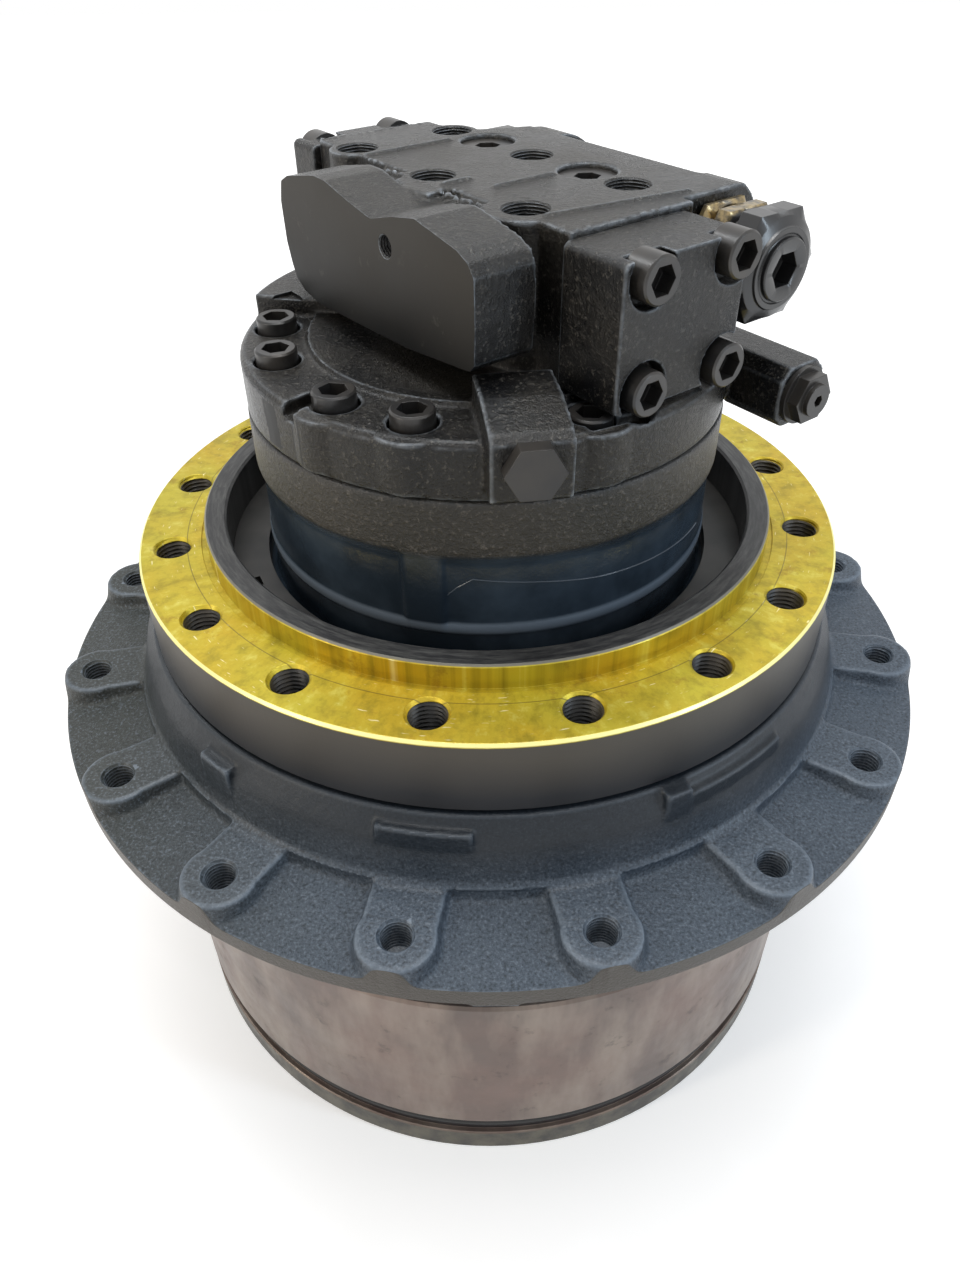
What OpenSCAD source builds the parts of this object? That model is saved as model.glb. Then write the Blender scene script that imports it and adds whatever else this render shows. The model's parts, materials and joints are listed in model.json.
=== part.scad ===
// Final drive of a crawler excavator: hydraulic motor with its valve body on top,
// two-stage planetary reducer below. Millimetres. The origin is the centre of the
// frame-mounting face on the axis of rotation, +Z points to the hydraulic motor.

/* [Mounting flanges] */
// Bolt circle diameter of the frame flange
frame_pcd = 417; // [414:1:420]
// Number of tapped holes in the frame flange
frame_holes = 16; // [12:2:16]
// Outer radius of the frame flange
frame_r = 230; // [228:1:232]
// Radius of the pilot that centres the drive in the track frame
pilot_r = 186.5; // [184:0.5:188]
// Height of the pilot above the frame face
pilot_h = 15; // [12:1:18]
// Bolt circle diameter of the sprocket flange
sprocket_pcd = 560; // [556:1:564]
// Number of tapped holes in the sprocket flange
sprocket_holes = 16; // [12:2:16]
// Outer radius of the sprocket flange
sprocket_r = 301.5; // [300:0.5:304]
// Height of the sprocket flange's bolt bosses below the frame face
sprocket_drop = 95; // [93:1:97]
// Thickness of the sprocket flange
sprocket_t = 24; // [22:1:26]

/* [Gearbox] */
// Outer radius of the ring gear and the end cover
drum_r = 254; // [252:1:256]
// Number of cover bolts
cover_bolt_n = 20; // [16:2:20]

/* [Hydraulic motor] */
// Outer radius of the motor casing
motor_r = 146.5; // [146:0.5:148]
// Outer radius of the rear casing
rear_r = 146; // [145.5:0.5:148]
// Height of the joint between the motor casing and the rear casing
seam_z = 90; // [89:0.5:91]
// Height of the rear casing's bolt face
cover_z = 123; // [122:0.5:124]
// Number of pistons in the cylinder block
piston_n = 9; // [7:2:9]

/* [Valve body] */
// Direction that the front spool cap faces
block_az = -53; // [-56:1:-50]
// Height of the port face
port_z = 205; // [204:0.5:207]
// Distance of the front cap's face from the axis
cap_face = 140; // [138:1:142]
// Thickness of the front spool cap
cap_t = 44; // [42:1:45]
// Thickness of the rear spool cap
rear_cap_t = 26; // [25:0.5:27]

/* [Motion] */
// Stroke that releases the parking brake
brake_stroke = 2.5; // [2:0.5:3]
// Stroke of the counterbalance spool each way
spool_stroke = 6; // [4:1:7]

/* [Hidden] */
$fn = 96;
eps = 0.01;

// Heights of the stack, from the top down
hub_top = -52;
flange_z = -sprocket_drop;
flange_low = flange_z - sprocket_t;
ring_top = -208;
cover_top = -362;
cover_low = -400;
recess_z = -376;
spindle_low = -224;

// Tapped holes, as drilled to the minor diameter
frame_hole_r = 10.4;
frame_hole_depth = 38;
frame_phase = 13.8;
sprocket_hole_r = 8.65;
sprocket_phase = 12.3;

// Frame housing
skirt_depth = 50;
pilot_bore_r = 172;
spindle_r = 176;
race_bore_r = 160;
nut_thread_r = 158;
spindle_bore_r = 126;
motor_bore_r = 146;
motor_seat_z = -112;
lock_seat_z = -26;

// Main bearings
race_od_r = 200;
bearing1_z = -92;
bearing2_z = -204;
bearing_w = 30;
roller_n = 40;

// Floating seal
seal_z = -66;
seal_bore_r = 201.1;
o_ring_r = 4.8;

// Plugs of the end cover
plug_cr = 130;

// Cover bolts, M16
cover_bolt_pcr = 230;
cover_bolt_r = 8;

// Gears: module, teeth, pressure angle and tooth heights
gear_m = 6;
ring_teeth = 66;
sun1_teeth = 12;
sun2_teeth = 18;
pressure = 25;
addendum = 0.9 * gear_m;
dedendum = 1.15 * gear_m;
thin = 0.5;
ring_pr = ring_teeth * gear_m / 2;
ring_tip_r = ring_pr - addendum;
planet1_teeth = (ring_teeth - sun1_teeth) / 2;
planet2_teeth = (ring_teeth - sun2_teeth) / 2;
planet1_cr = (sun1_teeth + planet1_teeth) * gear_m / 2;
planet2_cr = (sun2_teeth + planet2_teeth) * gear_m / 2;
planet1_n = 3;
planet2_n = 4;
planet1_top = -326;
planet1_low = -356;
planet2_top = -246;
planet2_low = -294;
pin1_r = 20;
pin2_r = 28;
roller1_r = 4;
roller2_r = 5;
bore1_r = pin1_r + 2 * roller1_r + 0.5;
bore2_r = pin2_r + 2 * roller2_r + 0.5;
web_r = 23;
web_cr = 142;

// Motor
brake_top = seam_z - 4 * brake_stroke - 6;
cavity_r = 112;
low_cavity_r = 100;
block_r = 78;
piston_cr = 56;
piston_r = 13;
swash_face = -40;
swash_t = 14;
tilt_r = 40;
tilt_z = -42;
shaft_r = 22;
fit = 0.05;

// Valve body, along the block (u), across it (w) and up
far_face = -173;
block_u0 = far_face + rear_cap_t;
spool_u0 = far_face + cap_t;
block_u1 = cap_face - cap_t;
wall_w = -20;
cap_w = [-25, 59.5];
cap_z = [126, 202];
cap_bolt_w = [-6, 51.2];
cap_bolt_z = [135.5, 192.3];
cap_scallop = 15.5;
front_grip = 24;
rear_grip = 18;
spool_w = 22.6;
spool_z = 163.5;
spool_r = 16;
spool_end = spool_stroke + 4;
chamber = 30;
back_w = 108.5;
back_u = [-92, 88];
back_z = 140;
port_r = 12.1;
port_column_h = 32;
port_u = [-114, -32, 51];
port_w = [-11.5, 60.5];
gallery_u = [-78, 16];
gallery_w = 62.4;
relief_u = [back_u[0] - 1, back_u[1] + 1];
relief_w = 92;
relief_z = 175;
rear_relief_w = 111;
rear_relief_z = 168;
relief_room = 32.5;
speed_w = 113;
speed_z = 103.5;
plug_az = -82;
plug_z = 119;
casing_bolt_r = 126;
casing_bolt_az = [178, 200, 231, 253, 295.5, 22, 51, 73];
seat_z = 114.5;
low_seat_z = 108;
function bolt_seat(az) = az == 295.5 ? low_seat_z : seat_z;

// Shared shapes

// Tube between two heights
module tube(ro, ri, z0, z1) {
    rotate_extrude() translate([ri, z0]) square([ro - ri, z1 - z0]);
}

// Disc between two heights
module disc(r, z0, z1) {
    translate([0, 0, z0]) cylinder(r=r, h=z1 - z0);
}

// Copies around the axis
module around(n, r, phase=0) {
    for (i = [0:n - 1])
        rotate([0, 0, phase + i * 360 / n]) translate([r, 0, 0]) children();
}

// Drilled hole with a countersunk mouth, its mouth at z = 0 facing up
module tapped(r, depth, sink=1.2) {
    translate([0, 0, -depth]) cylinder(r=r, h=depth + eps, $fn=48);
    translate([0, 0, -sink]) cylinder(r1=r, r2=r + sink + 0.2, h=sink + 0.2, $fn=48);
}

// Regular hexagonal prism by its width across flats
module hex(af, h) {
    cylinder(r=af / sqrt(3), h=h, $fn=6);
}

// Socket head screw, its head seat at z = 0 and its shank pointing down
module socket_screw(r, head_r, head_h, len, key) {
    difference() {
        union() {
            cylinder(r=head_r, h=head_h - 1, $fn=48);
            translate([0, 0, head_h - 1]) cylinder(r1=head_r, r2=head_r - 1, h=1, $fn=48);
        }
        translate([0, 0, head_h * 0.45]) hex(key, head_h);
    }
    translate([0, 0, -len]) cylinder(r=r, h=len, $fn=48);
}

// Rectangle with true round corners
module round_rect(w, h, r) {
    translate([r, 0]) square([w - 2 * r, h]);
    translate([0, r]) square([w, h - 2 * r]);
    for (x = [r, w - r], y = [r, h - r])
        translate([x, y]) circle(r=r, $fn=48);
}

// Places a child drawn in the valve body's own directions
module in_block() {
    rotate([0, 0, block_az]) children();
}

// Turns a child drawn along +Z to point along the block, toward the front cap
module along_block(u, w, z) {
    in_block() translate([u, w, z]) rotate([0, 90, 0]) children();
}

// Gear outlines

function involute(a) = tan(a) * 180 / PI - a;
function base_r(teeth) = teeth * gear_m / 2 * cos(pressure);
function roll(r, teeth) = acos(min(1, base_r(teeth) / r));
function half_tooth(r, teeth, slim) =
    90 / teeth - slim / (teeth * gear_m) * 180 / PI
    + involute(pressure) - involute(roll(max(r, base_r(teeth)), teeth));
function flank(teeth, slim, lo, hi, side, mid) =
    [for (i = [0:4]) let(
        t = side < 0 ? i / 4 : 1 - i / 4,
        r = lo + (hi - lo) * t,
        a = mid + side * half_tooth(r, teeth, slim))
        [r * cos(a), r * sin(a)]];
function gear_outline(teeth, slim, lo, hi) =
    [for (k = [0:teeth - 1]) each concat(
        flank(teeth, slim, lo, hi, -1, k * 360 / teeth),
        flank(teeth, slim, lo, hi, 1, k * 360 / teeth))];

// External gear with tooth 0 on the +X direction
module gear(teeth, z0, z1) {
    pr = teeth * gear_m / 2;
    translate([0, 0, z0]) linear_extrude(z1 - z0)
        polygon(gear_outline(teeth, thin, pr - dedendum, pr + addendum));
}

// Angle of a planet's first tooth when it meshes with the sun gear at the angle at
function planet_phase(at, sun, planet, sun_phase) =
    let(pitches = (at - sun_phase) * sun / 360)
    at + 180 + (pitches - floor(pitches) + 0.5) * 360 / planet;

// Housing and spindle

module frame_housing() {
    lip_r = 206.5;
    groove = 4;
    color([0.62, 0.52, 0.12]) difference() {
        rotate_extrude($fn=180) polygon([
            [pilot_bore_r, pilot_h - 1.5], [pilot_bore_r + 1.5, pilot_h],
            [pilot_r - 1.5, pilot_h], [pilot_r, pilot_h - 1.5],
            [pilot_r, -1], [pilot_r + groove, -1], [pilot_r + groove, 0],
            [frame_r - 1.5, 0], [frame_r, -1.5],
            [frame_r, 1 - skirt_depth], [frame_r - 1, -skirt_depth],
            [lip_r, -skirt_depth], [lip_r, -58], [seal_bore_r, -58],
            [seal_bore_r, -46], [spindle_r, -46], [spindle_r, bearing1_z],
            [race_bore_r, bearing1_z], [race_bore_r, bearing2_z],
            [nut_thread_r, bearing2_z], [nut_thread_r, spindle_low],
            [spindle_bore_r, spindle_low], [spindle_bore_r, motor_seat_z],
            [motor_bore_r, motor_seat_z], [motor_bore_r, -38],
            [153, -38], [153, lock_seat_z], [pilot_bore_r, lock_seat_z]]);
        around(frame_holes, frame_pcd / 2, frame_phase) tapped(frame_hole_r, frame_hole_depth);
        around(planet2_n, web_cr, 45) translate([0, 0, spindle_low])
            mirror([0, 0, 1]) tapped(10.1, 36);
    }
}

module lock_ring() {
    color([0.10, 0.10, 0.10]) difference() {
        tube(pilot_bore_r - 0.1, 148.5, lock_seat_z, -14);
        around(4, 166, 25) translate([-7, -5, -20]) cube([20, 10, 7]);
    }
}

module motor_casing() {
    color([0.06, 0.06, 0.06]) difference() {
        rotate_extrude($fn=180) polygon([
            [cavity_r, seam_z], [motor_r - 1, seam_z], [motor_r, seam_z - 1],
            [motor_r, 56], [motor_r - 3, 50],
            [motor_r - 3, 9], [motor_r - 1.5, 8], [motor_r - 1.5, 3], [motor_r - 3, 2],
            [motor_r - 3, lock_seat_z], [152, lock_seat_z], [152, -37], [145.7, -38],
            [145.7, motor_seat_z + 2], [143.7, motor_seat_z],
            [32, motor_seat_z], [32, -106], [46, -106], [46, -84],
            [low_cavity_r, -84], [low_cavity_r, 10], [cavity_r, 10]]);
        // Splines that hold the steel brake plates
        around(6, cavity_r, 30) translate([0, 0, 10]) cylinder(r=6.3, h=seam_z, $fn=48);
        // Tapped holes for the rear casing's bolts
        for (a = casing_bolt_az) rotate([0, 0, a]) translate([casing_bolt_r, 0, seam_z])
            tapped(8.05, 36);
    }
    // Cradle on which the swash plate tilts
    color([0.06, 0.06, 0.06]) difference() {
        intersection() {
            disc(low_cavity_r + 1, -85, swash_face - swash_t - 1);
            for (s = [-1, 1]) translate([s * 62 - 12, -80, -85]) cube([24, 160, 40]);
        }
        translate([-90, 0, tilt_z]) rotate([0, 90, 0]) cylinder(r=tilt_r + 0.3, h=180);
        disc(47, -90, swash_face);
    }
}

// Rear casing and valve body, one casting

module rear_casing() {
    color([0.05, 0.05, 0.05]) difference() {
        union() {
            cover_body();
            in_block() block_body();
            in_block() bracket_pad();
            in_block() speed_housing();
            plug_boss();
        }
        cover_cuts();
        in_block() block_cuts();
    }
}

module cover_body() {
    rotate_extrude($fn=180) polygon([
        [0, 72], [80, 72], [80, seam_z], [rear_r - 1, seam_z], [rear_r, seam_z + 1],
        [rear_r, cover_z - 3], [rear_r - 3, cover_z], [0, cover_z]]);
    // Raised middle under the valve body
    disc(106, cover_z - 10, cover_z + 3);
    // Bosses that bulge out around three of the bolts
    for (a = [231, 253, 295.5]) rotate([0, 0, a])
        translate([casing_bolt_r, 0, seam_z + 1.5]) cylinder(r=23.5, h=cover_z - seam_z - 2.5);
    // Raised shoulder at the left
    intersection() {
        tube(rear_r - 1, 90, cover_z - 1, 135);
        linear_extrude(200) polygon([[0, 0], for (a = [147, 155, 163, 169])
            [300 * cos(a), 300 * sin(a)]]);
    }
}

// Cover bolt pockets, the cuts under the front cap and the bearing bore
module cover_cuts() {
    for (a = casing_bolt_az) rotate([0, 0, a]) translate([casing_bolt_r, 0, 0]) {
        translate([0, 0, 60]) cylinder(r=8.8, h=60, $fn=48);
        translate([0, 0, bolt_seat(a)]) cylinder(r=13.6, h=30, $fn=48);
    }
    // The pockets at 231 and 295.5 degrees break out through the rim
    rotate([0, 0, 226]) translate([casing_bolt_r, -9, seat_z]) cube([40, 12, 30]);
    rotate([0, 0, 295.5]) translate([casing_bolt_r + 4, -9, seat_z]) cube([12, 36, 30]);
    // Seat of the shaft's upper bearing
    translate([0, 0, 71]) cylinder(r=32, h=27);
    // Room for the spool caps and their lower screws
    in_block() {
        translate([block_u1, cap_w[0] - 1, cap_z[0] - 0.5]) cube([80, cap_w[1] - cap_w[0] + 2, 30]);
        for (w = cap_bolt_w) translate([block_u1, w, cap_bolt_z[0]]) rotate([0, 90, 0])
            cylinder(r=cap_scallop, h=80, $fn=48);
    }
}

module block_body() {
    // Body between the two spool caps, on a round pedestal
    intersection() {
        translate([block_u0, wall_w, cover_z - 5])
            cube([block_u1 - block_u0, 65 - wall_w, port_z - cover_z + 5]);
        union() {
            disc(108, 60, 240);
            disc(400, cap_z[0] + 4, 240);
        }
    }
    // Wide part with the relief valves
    translate([0, 0, back_z]) linear_extrude(port_z - back_z) polygon([
        [back_u[0] - 20, 64], [block_u1, 64], [block_u1, 58.5], [back_u[1], 58.5],
        [back_u[1], back_w], [back_u[0], back_w]]);
    for (p = [[relief_u[0], rear_relief_w, rear_relief_z], [relief_u[1] - 30, relief_w, relief_z]])
        translate([p[0], 0, 0]) rotate([90, 0, 90]) linear_extrude(30) difference() {
            translate([p[1], p[2]]) circle(r=36);
            translate([0, port_z - 0.6]) square([200, 20]);
            translate([0, 130]) square([70, 80]);
        }
    // Round column under the front left port
    translate([port_u[2], port_w[0], cover_z]) cylinder(r=23, h=port_z - cover_z);
    // Shorter ones under the other ports that stand near a wall
    for (p = [[port_u[0], port_w[0]], [port_u[1], port_w[0]], [port_u[0], port_w[1]]])
        translate([p[0], p[1], port_z - port_column_h])
            cylinder(r=port_r + 5.5, h=port_column_h);
    // Small lug in front of the middle left port
    translate([0, 0, port_z - 14]) linear_extrude(14) polygon([
        [-43.5, -19], [-38.6, -33.4], [-11.4, -38.3], [-1.8, -35.7], [-6, -19]]);
    // Cast ridges across the port face
    for (r = [[-93, -19, 63, 0], [-12, -19, 19, 0], [10, 0, 42, 0], [68, -13, 90, -9]])
        translate([r[0], r[1], port_z]) rotate([-90, 0, r[3]]) cylinder(r=1.6, h=r[2], $fn=24);
}

// Flat machined pad that stands out in front
module bracket_pad() {
    pad_t = 38;
    face_w = -76;
    // Outline seen from the front, from the lower left corner
    translate([0, face_w, 0]) mirror([0, 1, 0]) rotate([90, 0, 0]) linear_extrude(pad_t)
        pad_outline();
    // Webs from the pad to the block
    translate([0, face_w + pad_t - 1, 0]) mirror([0, 1, 0]) rotate([90, 0, 0])
        linear_extrude(wall_w - face_w - pad_t + 2) intersection() {
            pad_outline();
            translate([-70, 130]) square([115, port_z - 133]);
        }
}

module pad_outline() {
    polygon([[-60, 137.7], [30.5, 140.7], [88, 147], [92, 151], [93, 169.5], [92.7, 193.7],
        [88.2, 199.8], [79.7, 203.6], [63.7, 206.6], [44.6, 210], [24.8, 206.5],
        [3.3, 200.8], [-18.8, 205], [-41.7, 210.3], [-53.6, 210.6], [-84.8, 204.6],
        [-93.3, 200.3], [-96.6, 188.7], [-95.6, 166.2], [-92, 154], [-88.4, 146.7],
        [-80, 141], [-68.2, 138.5]]);
}

// Housing of the two-speed valve, beside the front cap
module speed_housing() {
    size = 36;
    chamfer = 7;
    difference() {
        translate([55, speed_w, speed_z]) rotate([90, 0, 90]) linear_extrude(95) polygon([
            [-size / 2, -size / 2 + chamfer], [-size / 2 + chamfer, -size / 2],
            [size / 2 - chamfer, -size / 2], [size / 2, -size / 2 + chamfer],
            [size / 2, size / 2 - chamfer], [size / 2 - chamfer, size / 2],
            [-size / 2 + chamfer, size / 2], [-size / 2, size / 2 - chamfer]]);
        // Stands clear of the motor casing below the joint
        disc(motor_r + 0.5, seam_z - 30, seam_z + 0.5);
    }
}

module plug_boss() {
    half = 21;
    rotate([0, 0, plug_az]) translate([100, half, 0]) rotate([90, 0, 0])
        linear_extrude(2 * half) polygon([
            [0, 98], [60, 98], [63, 101], [63, 131], [58, 135], [30, 140], [0, 140]]);
}

module block_cuts() {
    // Main spool bore, with the rear spring's chamber
    translate([spool_u0 - 1, spool_w, spool_z]) rotate([0, 90, 0])
        cylinder(r=spool_r, h=block_u1 - spool_u0 + 2);
    translate([block_u0 - 1, spool_w, spool_z]) rotate([0, 90, 0])
        cylinder(r=spool_r + 3, h=spool_u0 - block_u0 + 1, $fn=64);
    // Ports in two rows
    for (u = port_u, w = port_w) translate([u, w, port_z]) tapped(port_r, 26, 1);
    // Plugged galleries between them
    for (u = gallery_u) translate([u, gallery_w, port_z]) tapped(17, 20, 1);
    // Tapped holes of the cap bolts
    for (w = cap_bolt_w, z = cap_bolt_z) {
        translate([block_u1, w, z]) rotate([0, 90, 0]) tapped(8.05, front_grip + 6, 0.5);
        translate([block_u0, w, z]) rotate([0, -90, 0]) tapped(8.05, rear_grip + 2, 0.5);
    }
    // Relief valve bores
    translate([relief_u[1], relief_w, relief_z]) rotate([0, 90, 0]) relief_seat();
    translate([relief_u[0], rear_relief_w, rear_relief_z]) rotate([0, -90, 0]) relief_seat();
    // Tapped hole in the machined pad
    translate([16.2, -76, 189.9]) rotate([90, 0, 0]) tapped(5.2, 24, 0.8);
    // Bore of the two-speed valve
    translate([150, speed_w, speed_z]) rotate([0, 90, 0]) tapped(10, 60, 1);
    // Bore of the side plug
    rotate([0, 0, plug_az - block_az]) translate([163, 0, plug_z]) rotate([0, 90, 0])
        tapped(10, 40, 1);
}

// Bore of a relief valve and the room round its hexagons
module relief_seat() {
    tapped(16, 55, 1);
    cylinder(r=relief_room, h=60);
}

module casing_bolts() {
    color([0.08, 0.08, 0.09])
        for (a = casing_bolt_az) rotate([0, 0, a]) translate([casing_bolt_r, 0, bolt_seat(a)])
            socket_screw(8, 12, 16, 50, 14);
}

// Spool cap of thickness t, its inner face at z = 0 and its outer face at z = t
module spool_cap(t) {
    w = cap_w[1] - cap_w[0];
    h = cap_z[1] - cap_z[0];
    seat = t - 10;
    difference() {
        linear_extrude(t) translate([cap_w[0], cap_z[0]]) round_rect(w, h, 4);
        for (x = cap_bolt_w, y = cap_bolt_z) translate([x, y, 0]) {
            translate([0, 0, -1]) cylinder(r=8.5, h=t + 2, $fn=48);
            translate([0, 0, seat]) cylinder(r=cap_scallop, h=20, $fn=48);
        }
        // Chamber of the centring spring
        translate([spool_w, spool_z, -1])
            cylinder(r=spool_r + 3, h=chamber - cap_t + t + 1, $fn=64);
    }
}

// Puts a child drawn as (w, z, outward) on the front or the rear end of the block
module on_front(u) {
    in_block() translate([u, 0, 0]) rotate([90, 0, 90]) children();
}

module on_rear(u) {
    in_block() mirror([1, 0, 0]) translate([-u, 0, 0]) rotate([90, 0, 90]) children();
}

module front_spool_cap() {
    color([0.06, 0.06, 0.06]) on_front(block_u1) spool_cap(cap_t);
}

module rear_spool_cap() {
    color([0.06, 0.06, 0.06]) on_rear(block_u0) spool_cap(rear_cap_t);
}

module cap_screws(t, grip) {
    for (x = cap_bolt_w, y = cap_bolt_z) translate([x, y, t - 10])
        socket_screw(8, 12, 16, t - 10 + grip, 14);
}

module cap_bolts() {
    color([0.08, 0.08, 0.09]) {
        on_front(block_u1) cap_screws(cap_t, front_grip);
        on_rear(block_u0) cap_screws(rear_cap_t, rear_grip);
    }
}

// Relief valve, its seat on the block at z = 0
module relief_valve() {
    difference() {
        union() {
            translate([0, 0, -40]) cylinder(r=15.8, h=40);
            hex(50, 8);
            translate([0, 0, 8]) cylinder(r=21, h=3);
            translate([0, 0, 11]) hex(50, 13);
            translate([0, 0, 24]) cylinder(r=24, h=3);
            translate([0, 0, 27]) hex(55, 19);
            translate([0, 0, 46]) cylinder(r1=26.5, r2=21, h=3);
            translate([0, 0, 49]) cylinder(r=16.5, h=2.5);
        }
        translate([0, 0, 40]) hex(17, 20);
    }
}

module front_relief_valve() {
    color([0.30, 0.24, 0.12]) on_front(relief_u[1]) translate([relief_w, relief_z, 0])
        relief_valve();
}

module rear_relief_valve() {
    color([0.30, 0.24, 0.12]) on_rear(relief_u[0]) translate([rear_relief_w, rear_relief_z, 0])
        relief_valve();
}

module two_speed_plug() {
    color([0.08, 0.08, 0.08]) on_front(150) translate([speed_w, speed_z, 0]) difference() {
        union() {
            translate([0, 0, -25]) cylinder(r=9.9, h=25, $fn=48);
            cylinder(r=17, h=3);
            hex(26, 10);
            cylinder(r=9.5, h=13, $fn=48);
        }
        translate([0, 0, 8]) hex(6, 10);
    }
}

module side_plug() {
    color([0.07, 0.07, 0.07]) rotate([0, 0, plug_az]) translate([163, 0, plug_z])
        rotate([0, 90, 0]) {
            translate([0, 0, -28]) cylinder(r=9.9, h=28, $fn=48);
            rotate([0, 0, 30]) hex(27, 9);
        }
}

module gallery_plugs() {
    color([0.10, 0.10, 0.09]) in_block()
        for (u = gallery_u) translate([u, gallery_w, port_z - 20]) difference() {
            cylinder(r=16.9, h=17);
            translate([0, 0, 9]) hex(14, 10);
        }
}

// Motor internals

module valve_plate() {
    color([0.75, 0.70, 0.52]) difference() {
        tube(74, 24, 66, 72);
        for (s = [-1, 1], a = [-60:20:60])
            rotate([0, 0, (s > 0 ? 0 : 180) + a]) translate([piston_cr, 0, 60])
                cylinder(r=7, h=20, $fn=32);
    }
}

module swash_plate() {
    color([0.55, 0.55, 0.58]) difference() {
        union() {
            disc(88, swash_face - swash_t, swash_face);
            intersection() {
                translate([-74, 0, tilt_z]) rotate([0, 90, 0]) cylinder(r=tilt_r, h=148);
                for (s = [-1, 1]) translate([s * 62 - 12, -60, -100]) cube([24, 120, 58]);
            }
        }
        disc(30, -100, 0);
    }
}

module shaft_bearings() {
    color([0.70, 0.70, 0.72]) {
        bearing_with_rollers(46, -106, -84);
        bearing_with_rollers(32, 76, 98);
    }
}

// Roller bearing whose rollers run on the shaft
module bearing_with_rollers(ro, z0, z1) {
    r = 3.4;
    tube(ro - 0.05, shaft_r + 2 * r + 0.2, z0, z1);
    around(16, shaft_r + r + 0.1) disc(r, z0 + 3, z1 - 3, $fn=24);
}

module shaft_seal() {
    color([0.10, 0.10, 0.10]) tube(31.9, shaft_r + 0.1, motor_seat_z + eps, -106 - eps);
}

module brake_plates() {
    color([0.45, 0.45, 0.47]) for (i = [0:3]) translate([0, 0, 10 + 6.6 * i])
        linear_extrude(3) difference() {
            union() {
                circle(r=cavity_r - 0.4);
                around(6, cavity_r, 30) circle(r=5.9, $fn=48);
            }
            circle(r=86);
        }
}

module brake_springs() {
    disc_t = 3;
    mid = (brake_top + seam_z) / 2;
    color([0.20, 0.22, 0.25]) rotate_extrude() {
        polygon([[92, mid - disc_t], [106, brake_top], [106, brake_top + disc_t], [92, mid]]);
        polygon([[92, mid + eps], [106, seam_z - disc_t], [106, seam_z], [92, mid + disc_t]]);
    }
}

module brake_piston() {
    color([0.60, 0.60, 0.62]) difference() {
        tube(cavity_r - 0.3, 86, 32.9, brake_top);
        tube(cavity_r + 1, cavity_r - 4, 50, 55);
        tube(cavity_r + 1, cavity_r - 4, 64, 69);
    }
}

module friction_plates() {
    color([0.35, 0.28, 0.18]) for (i = [0:2]) translate([0, 0, 13.2 + 6.6 * i])
        tube(104, block_r + 0.1, 0, 3.2);
}

module cylinder_block() {
    color([0.50, 0.50, 0.53]) difference() {
        disc(block_r, -4, 66 - eps);
        disc(shaft_r, -10, 80);
        around(piston_n, piston_cr) disc(piston_r + fit, -10, 58, $fn=64);
        around(piston_n, piston_cr) disc(6, 50, 80, $fn=32);
    }
}

// Pistons at mid-stroke, with their slippers on the swash plate
module pistons() {
    color([0.72, 0.73, 0.75]) around(piston_n, piston_cr) {
        disc(piston_r, -22, 40, $fn=64);
        disc(6, -34, -21, $fn=32);
        disc(16, swash_face + eps, -33, $fn=48);
    }
}

module retainer_plate() {
    color([0.58, 0.58, 0.60]) difference() {
        tube(84, 40, -33 + eps, -29);
        around(piston_n, piston_cr) disc(8, -40, -20, $fn=48);
    }
    // Ball ring that presses the plate onto the slippers
    color([0.58, 0.58, 0.60]) tube(40 + eps, shaft_r + 0.1, -29 - 4, -4 - eps);
}

module motor_shaft() {
    color([0.66, 0.66, 0.68]) {
        disc(shaft_r, -180, 97);
        disc(shaft_r - 2, -212, -180);
    }
}

module coupling_sleeve() {
    color([0.40, 0.40, 0.42]) difference() {
        disc(32, -232, -196);
        disc(shaft_r - 2 + fit, -240, -190);
    }
}

module first_sun_gear() {
    color([0.62, 0.63, 0.65]) {
        rotate([0, 0, 180 / sun1_teeth]) gear(sun1_teeth, planet1_low - 1, planet1_top + 1);
        disc(shaft_r - 4, -325, -232);
        disc(shaft_r - 2, -232, -213);
    }
}

// Main bearings

// Cross-section of an inner race, its big end at the top
module inner_race_section() {
    polygon([[race_bore_r + fit, 0], [race_bore_r + fit, -bearing_w], [171, -bearing_w],
        [171, 3 - bearing_w], [168.5, 3 - bearing_w], [174.5, -4], [180, -4], [180, 0]]);
}

module outer_race_section() {
    polygon([[race_od_r - fit, -1], [race_od_r - fit, 1 - bearing_w],
        [178.5, 1 - bearing_w], [187.7, -1]]);
}

// Tapered roller, standing on the race's cone
module race_rollers() {
    around(roller_n, 173.7) translate([0, 0, 3.2 - bearing_w]) rotate([0, 16.5, 0])
        cylinder(r1=4.9, r2=5.6, h=bearing_w - 8.4, $fn=32);
}

module inner_races() {
    color([0.70, 0.70, 0.72]) rotate_extrude() {
        translate([0, bearing1_z]) inner_race_section();
        translate([0, bearing2_z]) mirror([0, 1]) inner_race_section();
    }
}

module main_bearing_rollers() {
    color([0.78, 0.78, 0.80]) {
        translate([0, 0, bearing1_z]) race_rollers();
        translate([0, 0, bearing2_z]) mirror([0, 0, 1]) race_rollers();
    }
}

module outer_races() {
    color([0.66, 0.66, 0.69]) rotate_extrude() {
        translate([0, bearing1_z]) outer_race_section();
        translate([0, bearing2_z]) mirror([0, 1]) outer_race_section();
    }
}

module bearing_nut() {
    color([0.30, 0.30, 0.31]) difference() {
        tube(182, nut_thread_r + 0.1, bearing2_z - 14, bearing2_z - eps);
        around(8, 182, 22.5) translate([-6, -6, bearing2_z - 15]) cube([12, 12, 8]);
    }
}

// Fixed half of the floating seal, drawn above the seal face
module seal_ring_section() {
    polygon([[180, 0], [198, 0], [198, 3], [191, 6], [191, 13], [180, 13]]);
}

module fixed_seal_ring() {
    color([0.62, 0.62, 0.62]) rotate_extrude()
        translate([0, seal_z + eps]) seal_ring_section();
}

module fixed_seal_o_ring() {
    color([0.05, 0.05, 0.05]) rotate_extrude()
        translate([196.05, seal_z + 12.5]) circle(r=o_ring_r, $fn=32);
}

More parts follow.
